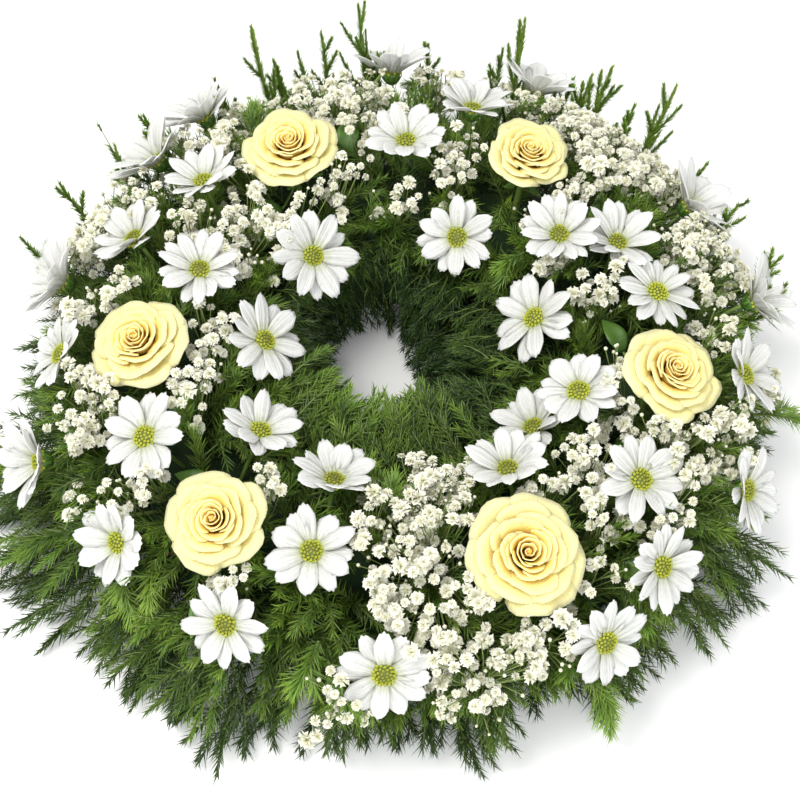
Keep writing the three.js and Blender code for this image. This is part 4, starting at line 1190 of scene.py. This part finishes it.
def grow_outside(green, first, last):
    """Round the outside, in tufts and in layers from the surface upwards."""
    tufts = 6
    short = random.uniform(-0.026, 0.006, tufts)
    skew = random.uniform(-16, 16, tufts)
    for foot, height, rise, count, share in (
        (0.194, 0.012, 2, 12, 1.0), (0.190, 0.024, 6, 12, 1.0), (0.188, 0.038, 14, 12, 0.95),
        (0.182, 0.050, 26, 10, 0.86), (0.178, 0.056, 42, 9, 0.72),
    ):
        for place in np.linspace(first, last, count, endpoint=False):
            degrees = place + random.uniform(0, 45 / count)
            tuft = int((degrees - first) / 45 * tufts) % tufts
            reach = reach_at(OUTER_REACH, degrees) - 0.003 + short[tuft] + random.uniform(-0.008, 0.006)
            length = max(0.035, (reach - foot) * share * random.uniform(0.95, 1.10))
            start = around(degrees, foot, height + random.uniform(-0.004, 0.006))
            tilt = rise + random.uniform(-6, 10)
            heading = sloped(degrees + skew[tuft] + random.uniform(-12, 12), tilt)
            # Each shoot starts in painted shade at its foot, and shoots of the lower layers get less painted
            # light: painted shade near the floor
            bright = random.uniform(0.12, 1.05) * (0.50 + 0.50 * smooth(0.01, 0.05, height))
            look = (random.uniform(0.0100, 0.0130), 1.1, 0.85, 0.03, min(1.0, bright))
            green.spray(start, heading, length, random.uniform(0.2, 0.9), random.uniform(-0.5, 0.5), look, 2)


def grow_plumes(green, first, last):
    """Full plumes that lie on the other shoots, with more painted light than those."""
    for number in range(10):
        degrees = random.uniform(first, last)
        outside = number < 6
        radius = random.uniform(0.198, 0.236) if outside else random.uniform(0.096, 0.120)
        height = mound_height(radius) - random.uniform(0.012, 0.026)
        tilt = random.uniform(0, 30)
        heading = sloped(degrees + (0 if outside else 180) + random.uniform(-45, 45), tilt)
        length = random.uniform(0.034, 0.052) if outside else random.uniform(0.024, 0.034)
        # Much painted light on these plumes, from their feet to their ends
        look = (random.uniform(0.0115, 0.0135), 2.6, 0.80, 0.45, 1.25)
        green.spray(around(degrees, radius, height), heading, length, 1.1, random.uniform(-0.7, 0.7), look, 2)


def grow_inside(green, first, last):
    """Into the hole, from its wall: long and with painted shade low down, short and with painted light at the
    top.
    """
    middle = (first + last) / 2
    near = 1.0 if 180 < middle < 330 else 0.0
    right = 1.0 if middle < 60 or middle > 300 else 0.0
    # The last column is each layer's painted light: painted shade low in the hole, a little more light on its
    # near side
    for foot, height, rise, count, share, light in (
        (0.092, 0.010, 0, 9 + 8 * right, 1.0, 0.10), (0.096, 0.022, 4 - 6 * right, 9 + 6 * right, 1.0, 0.15),
        (0.102, 0.038, 10, 8 + 2 * near, 0.95, 0.25),
        (0.108, 0.052, 22 - 6 * near, 8 + 4 * near, 0.85 + 0.15 * near, 0.5),
        (0.112, 0.062, 40 - 22 * near, 6 + 5 * near, 0.62 + 0.34 * near, 0.75),
    ):
        for place in np.linspace(first, last, int(count), endpoint=False):
            degrees = place + random.uniform(0, 45 / count)
            reach = reach_at(HOLE_REACH, degrees) + random.uniform(-0.002, 0.006)
            length = max(0.022, (foot - reach) * share * 1.06)
            start = around(degrees, foot, height + random.uniform(-0.004, 0.004))
            tilt = rise + random.uniform(-6, 8)
            heading = sloped(degrees + 180 + random.uniform(-10, 10), tilt)
            bright = min(1.0, (light + 0.1 * near) * random.uniform(0.2, 1.2))
            look = (random.uniform(0.0085, 0.0110), 1.1, 0.82, 0.0, bright)
            droop = random.uniform(0.1, 0.5) * (1 - 0.6 * near)
            green.spray(start, heading, length, droop, random.uniform(-0.15, 0.15), look, 2)
    for degrees, foot, height, toward in HOLE_TUFTS:
        if first <= degrees % 360 < last:
            for turn in np.linspace(-55, 55, 7):
                heading = around(toward + turn, 0.9, 0.35)
                look = (0.0095, 2.0, 0.80, 0.7, 1.0)
                green.add(shoot_points(around(degrees, foot, height), heading, 0.030, 0.7, 0.2), *look)


def grow_between(green, first, last):
    """Over the foam, between the blooms."""
    for number in range(FILLERS):
        degrees = random.uniform(first, last)
        radius = math.sqrt(random.uniform(0.100**2, 0.198**2))
        lean = (radius - ROOT_RADIUS) / 0.05
        bottom = around(degrees, radius, FOAM_TOP - 0.006)
        # Low shoots carry painted shade, the others painted light of random strength
        if number < LOW_FILLERS:
            length, tilt = random.uniform(0.022, 0.036), random.uniform(5, 40)
            look = (0.0085, 1.0, 0.95, 0.0, 0.5, 0.0008)
        else:
            top = mound_height(radius + 0.01 * lean) - 0.006
            length = max(0.024, (top - bottom[2]) * random.uniform(0.8, 1.2))
            tilt = 90 - 30 * abs(lean) - random.uniform(0, 28)
            look = (random.uniform(0.0090, 0.0120), 1.3, 0.85, 0.30, random.uniform(0.5, 1.2))
        heading = sloped(degrees + (0 if lean > 0 else 180) + random.uniform(-70, 70), tilt)
        droop, sway = random.uniform(0.2, 1.3), random.uniform(-0.6, 0.6)
        green.spray(bottom, heading, length, droop, sway, look, 0 if number < LOW_FILLERS else 2)


def grow_uprights(green, first, last):
    """Sprigs at the back that stand up above the flowers, with short close needles."""
    for degrees, height, thick in UPRIGHTS:
        if not first <= degrees % 360 < last:
            continue
        tip = around(degrees, UPRIGHT_RADIUS + 0.003, height)
        foot = around(degrees + random.uniform(-4, 4), 0.206, 0.046)
        knee = around(degrees + random.uniform(-1, 1), UPRIGHT_RADIUS - 0.016, 0.048)
        part = np.linspace(0, 1, PATH_POINTS)[:, None]
        path = (1 - part) ** 2 * foot + 2 * part * (1 - part) * knee + part**2 * tip
        # Much painted light on these sprigs, which stand in the open
        look = (0.0062 + 0.0016 * thick, 3.6, 0.72, 0.75, 1.0, 0.0007, 0.135)
        green.add(path, *look)
        for share in np.arange(0.36, 0.92, 0.09 / thick):
            place = path[int(share * (PATH_POINTS - 1))]
            aim = unit(tip - knee) + 0.7 * around(random.uniform(0, 360), 1.0, 0.0)
            long = (height - place[2]) * 0.42 * thick + 0.009
            green.add(shoot_points(place, aim, long, -0.5, 0.1), 0.0060, 3.2, 0.72, 0.75, 1.0, 0.0007, 0.135)


def make_bough(number, blooms):
    green = Greenery(blooms)
    first, last = 360 / BOUGHS * number, 360 / BOUGHS * (number + 1)
    grow_outside(green, first, last)
    grow_plumes(green, first, last)
    grow_inside(green, first, last)
    grow_between(green, first, last)
    grow_uprights(green, first, last)
    name = f"needle_bough_{number + 1}"
    piece = Piece(name + "_fine", ["needle", "shoot", "brown_twig"])
    green.fill(piece)
    for degrees, radius, height, toward in BROWN_TWIGS:
        if first <= degrees % 360 < last:
            path = shoot_points(around(degrees, radius, height), around(toward, 0.9, 0.4), 0.016, 0.2, 0.6)
            add_rods(piece, path[None], 0.0009, 5, PLAIN, "brown_twig")
    return piece.build("needles", name)


# Stage


def make_floor():
    size = 3.0
    mesh = bpy.data.meshes.new("floor")
    corners = [(-size, -size, 0), (size, -size, 0), (size, size, 0), (-size, size, 0)]
    mesh.from_pydata(corners, [], [(0, 1, 2, 3)])
    mesh.materials.append(MATERIALS["floor"])
    floor = bpy.data.objects.new("floor", mesh)
    bpy.context.scene.collection.objects.link(floor)


def add_light(name, place, size, power, colour):
    data = bpy.data.lights.new(name, "AREA")
    data.shape = "DISK"
    data.size = size
    data.energy = power
    data.color = colour
    light = bpy.data.objects.new(name, data)
    light.location = place
    light.rotation_mode = "QUATERNION"
    light.rotation_quaternion = (Vector((0, 0, 0.05)) - Vector(place)).to_track_quat("-Z", "Y")
    bpy.context.scene.collection.objects.link(light)


def make_stage():
    make_floor()
    add_light("key", (-0.8, 0.05, 1.9), 1.1, 29, (1.0, 0.985, 0.95))
    add_light("fill", (0.5, -1.8, 1.3), 1.8, 24, (0.98, 0.99, 1.0))
    world = bpy.data.worlds.new("studio")
    world.use_nodes = True
    background = world.node_tree.nodes["Background"]
    background.inputs["Color"].default_value = (0.97, 0.98, 1.0, 1)
    background.inputs["Strength"].default_value = 0.80
    bpy.context.scene.world = world
    bpy.context.scene.view_settings.view_transform = "Standard"
    bpy.context.scene.view_settings.look = "None"


def make_camera():
    raise_by = math.radians(ELEVATION)
    back = np.array([0, -math.cos(raise_by), math.sin(raise_by)])
    right = np.array([1.0, 0, 0])
    up = np.cross(back, right)
    turn = math.radians(ROLL)
    across = math.cos(turn) * right + math.sin(turn) * up
    upward = -math.sin(turn) * right + math.cos(turn) * up
    place = np.array(TARGET) + back * DISTANCE
    camera_data = bpy.data.cameras.new("camera")
    camera_data.sensor_width = 36.0
    camera_data.lens = 36.0 * FOCAL / FRAME_SIDE
    camera_data.clip_start = 0.01
    camera = bpy.data.objects.new("camera", camera_data)
    turn_matrix = Matrix(np.stack([across, upward, back], axis=1).tolist())
    camera.matrix_world = Matrix.Translation(Vector(place.tolist())) @ turn_matrix.to_4x4()
    bpy.context.scene.collection.objects.link(camera)
    bpy.context.scene.camera = camera


# The scene

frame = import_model()
make_petal_materials()
make_green_materials()
make_base_materials()
make_camera()
make_stage()

nodes = frame["nodes"]
for name, look in (("ring_tray", "tray"), ("foam_ring", "foam")):
    nodes[name].data.materials.clear()
    nodes[name].data.materials.append(MATERIALS[look])

roses = [bloom_place(*row, False) for row in ROSES]
daisies = [bloom_place(*row, True) for row in DAISIES]
second = bloom_place(*SECOND_BLOOM, True)
blooms = roses + daisies + [second]
for number, place in enumerate(roses, 1):
    make_rose(f"rose_{number:02d}", place, [leaf[1:] for leaf in LEAVES if leaf[0] == number])
for number, place in enumerate(daisies, 1):
    make_daisy(f"daisy_{number:02d}", place, second if number == FORKED else None)
templates = [floret_template() for _ in range(5)]
bud = bud_template()
for number, spec in enumerate(BUNCHES, 1):
    make_bunch(f"gypsophila_{number}_fine", spec, blooms, templates, bud, [f"gypsophila_{number}"])
for number, spec in enumerate(SPRIGS, 1):
    make_bunch(f"gypsophila_sprig_{number:02d}", spec, blooms, templates, bud, [])
for number in range(BOUGHS):
    make_bough(number, blooms)
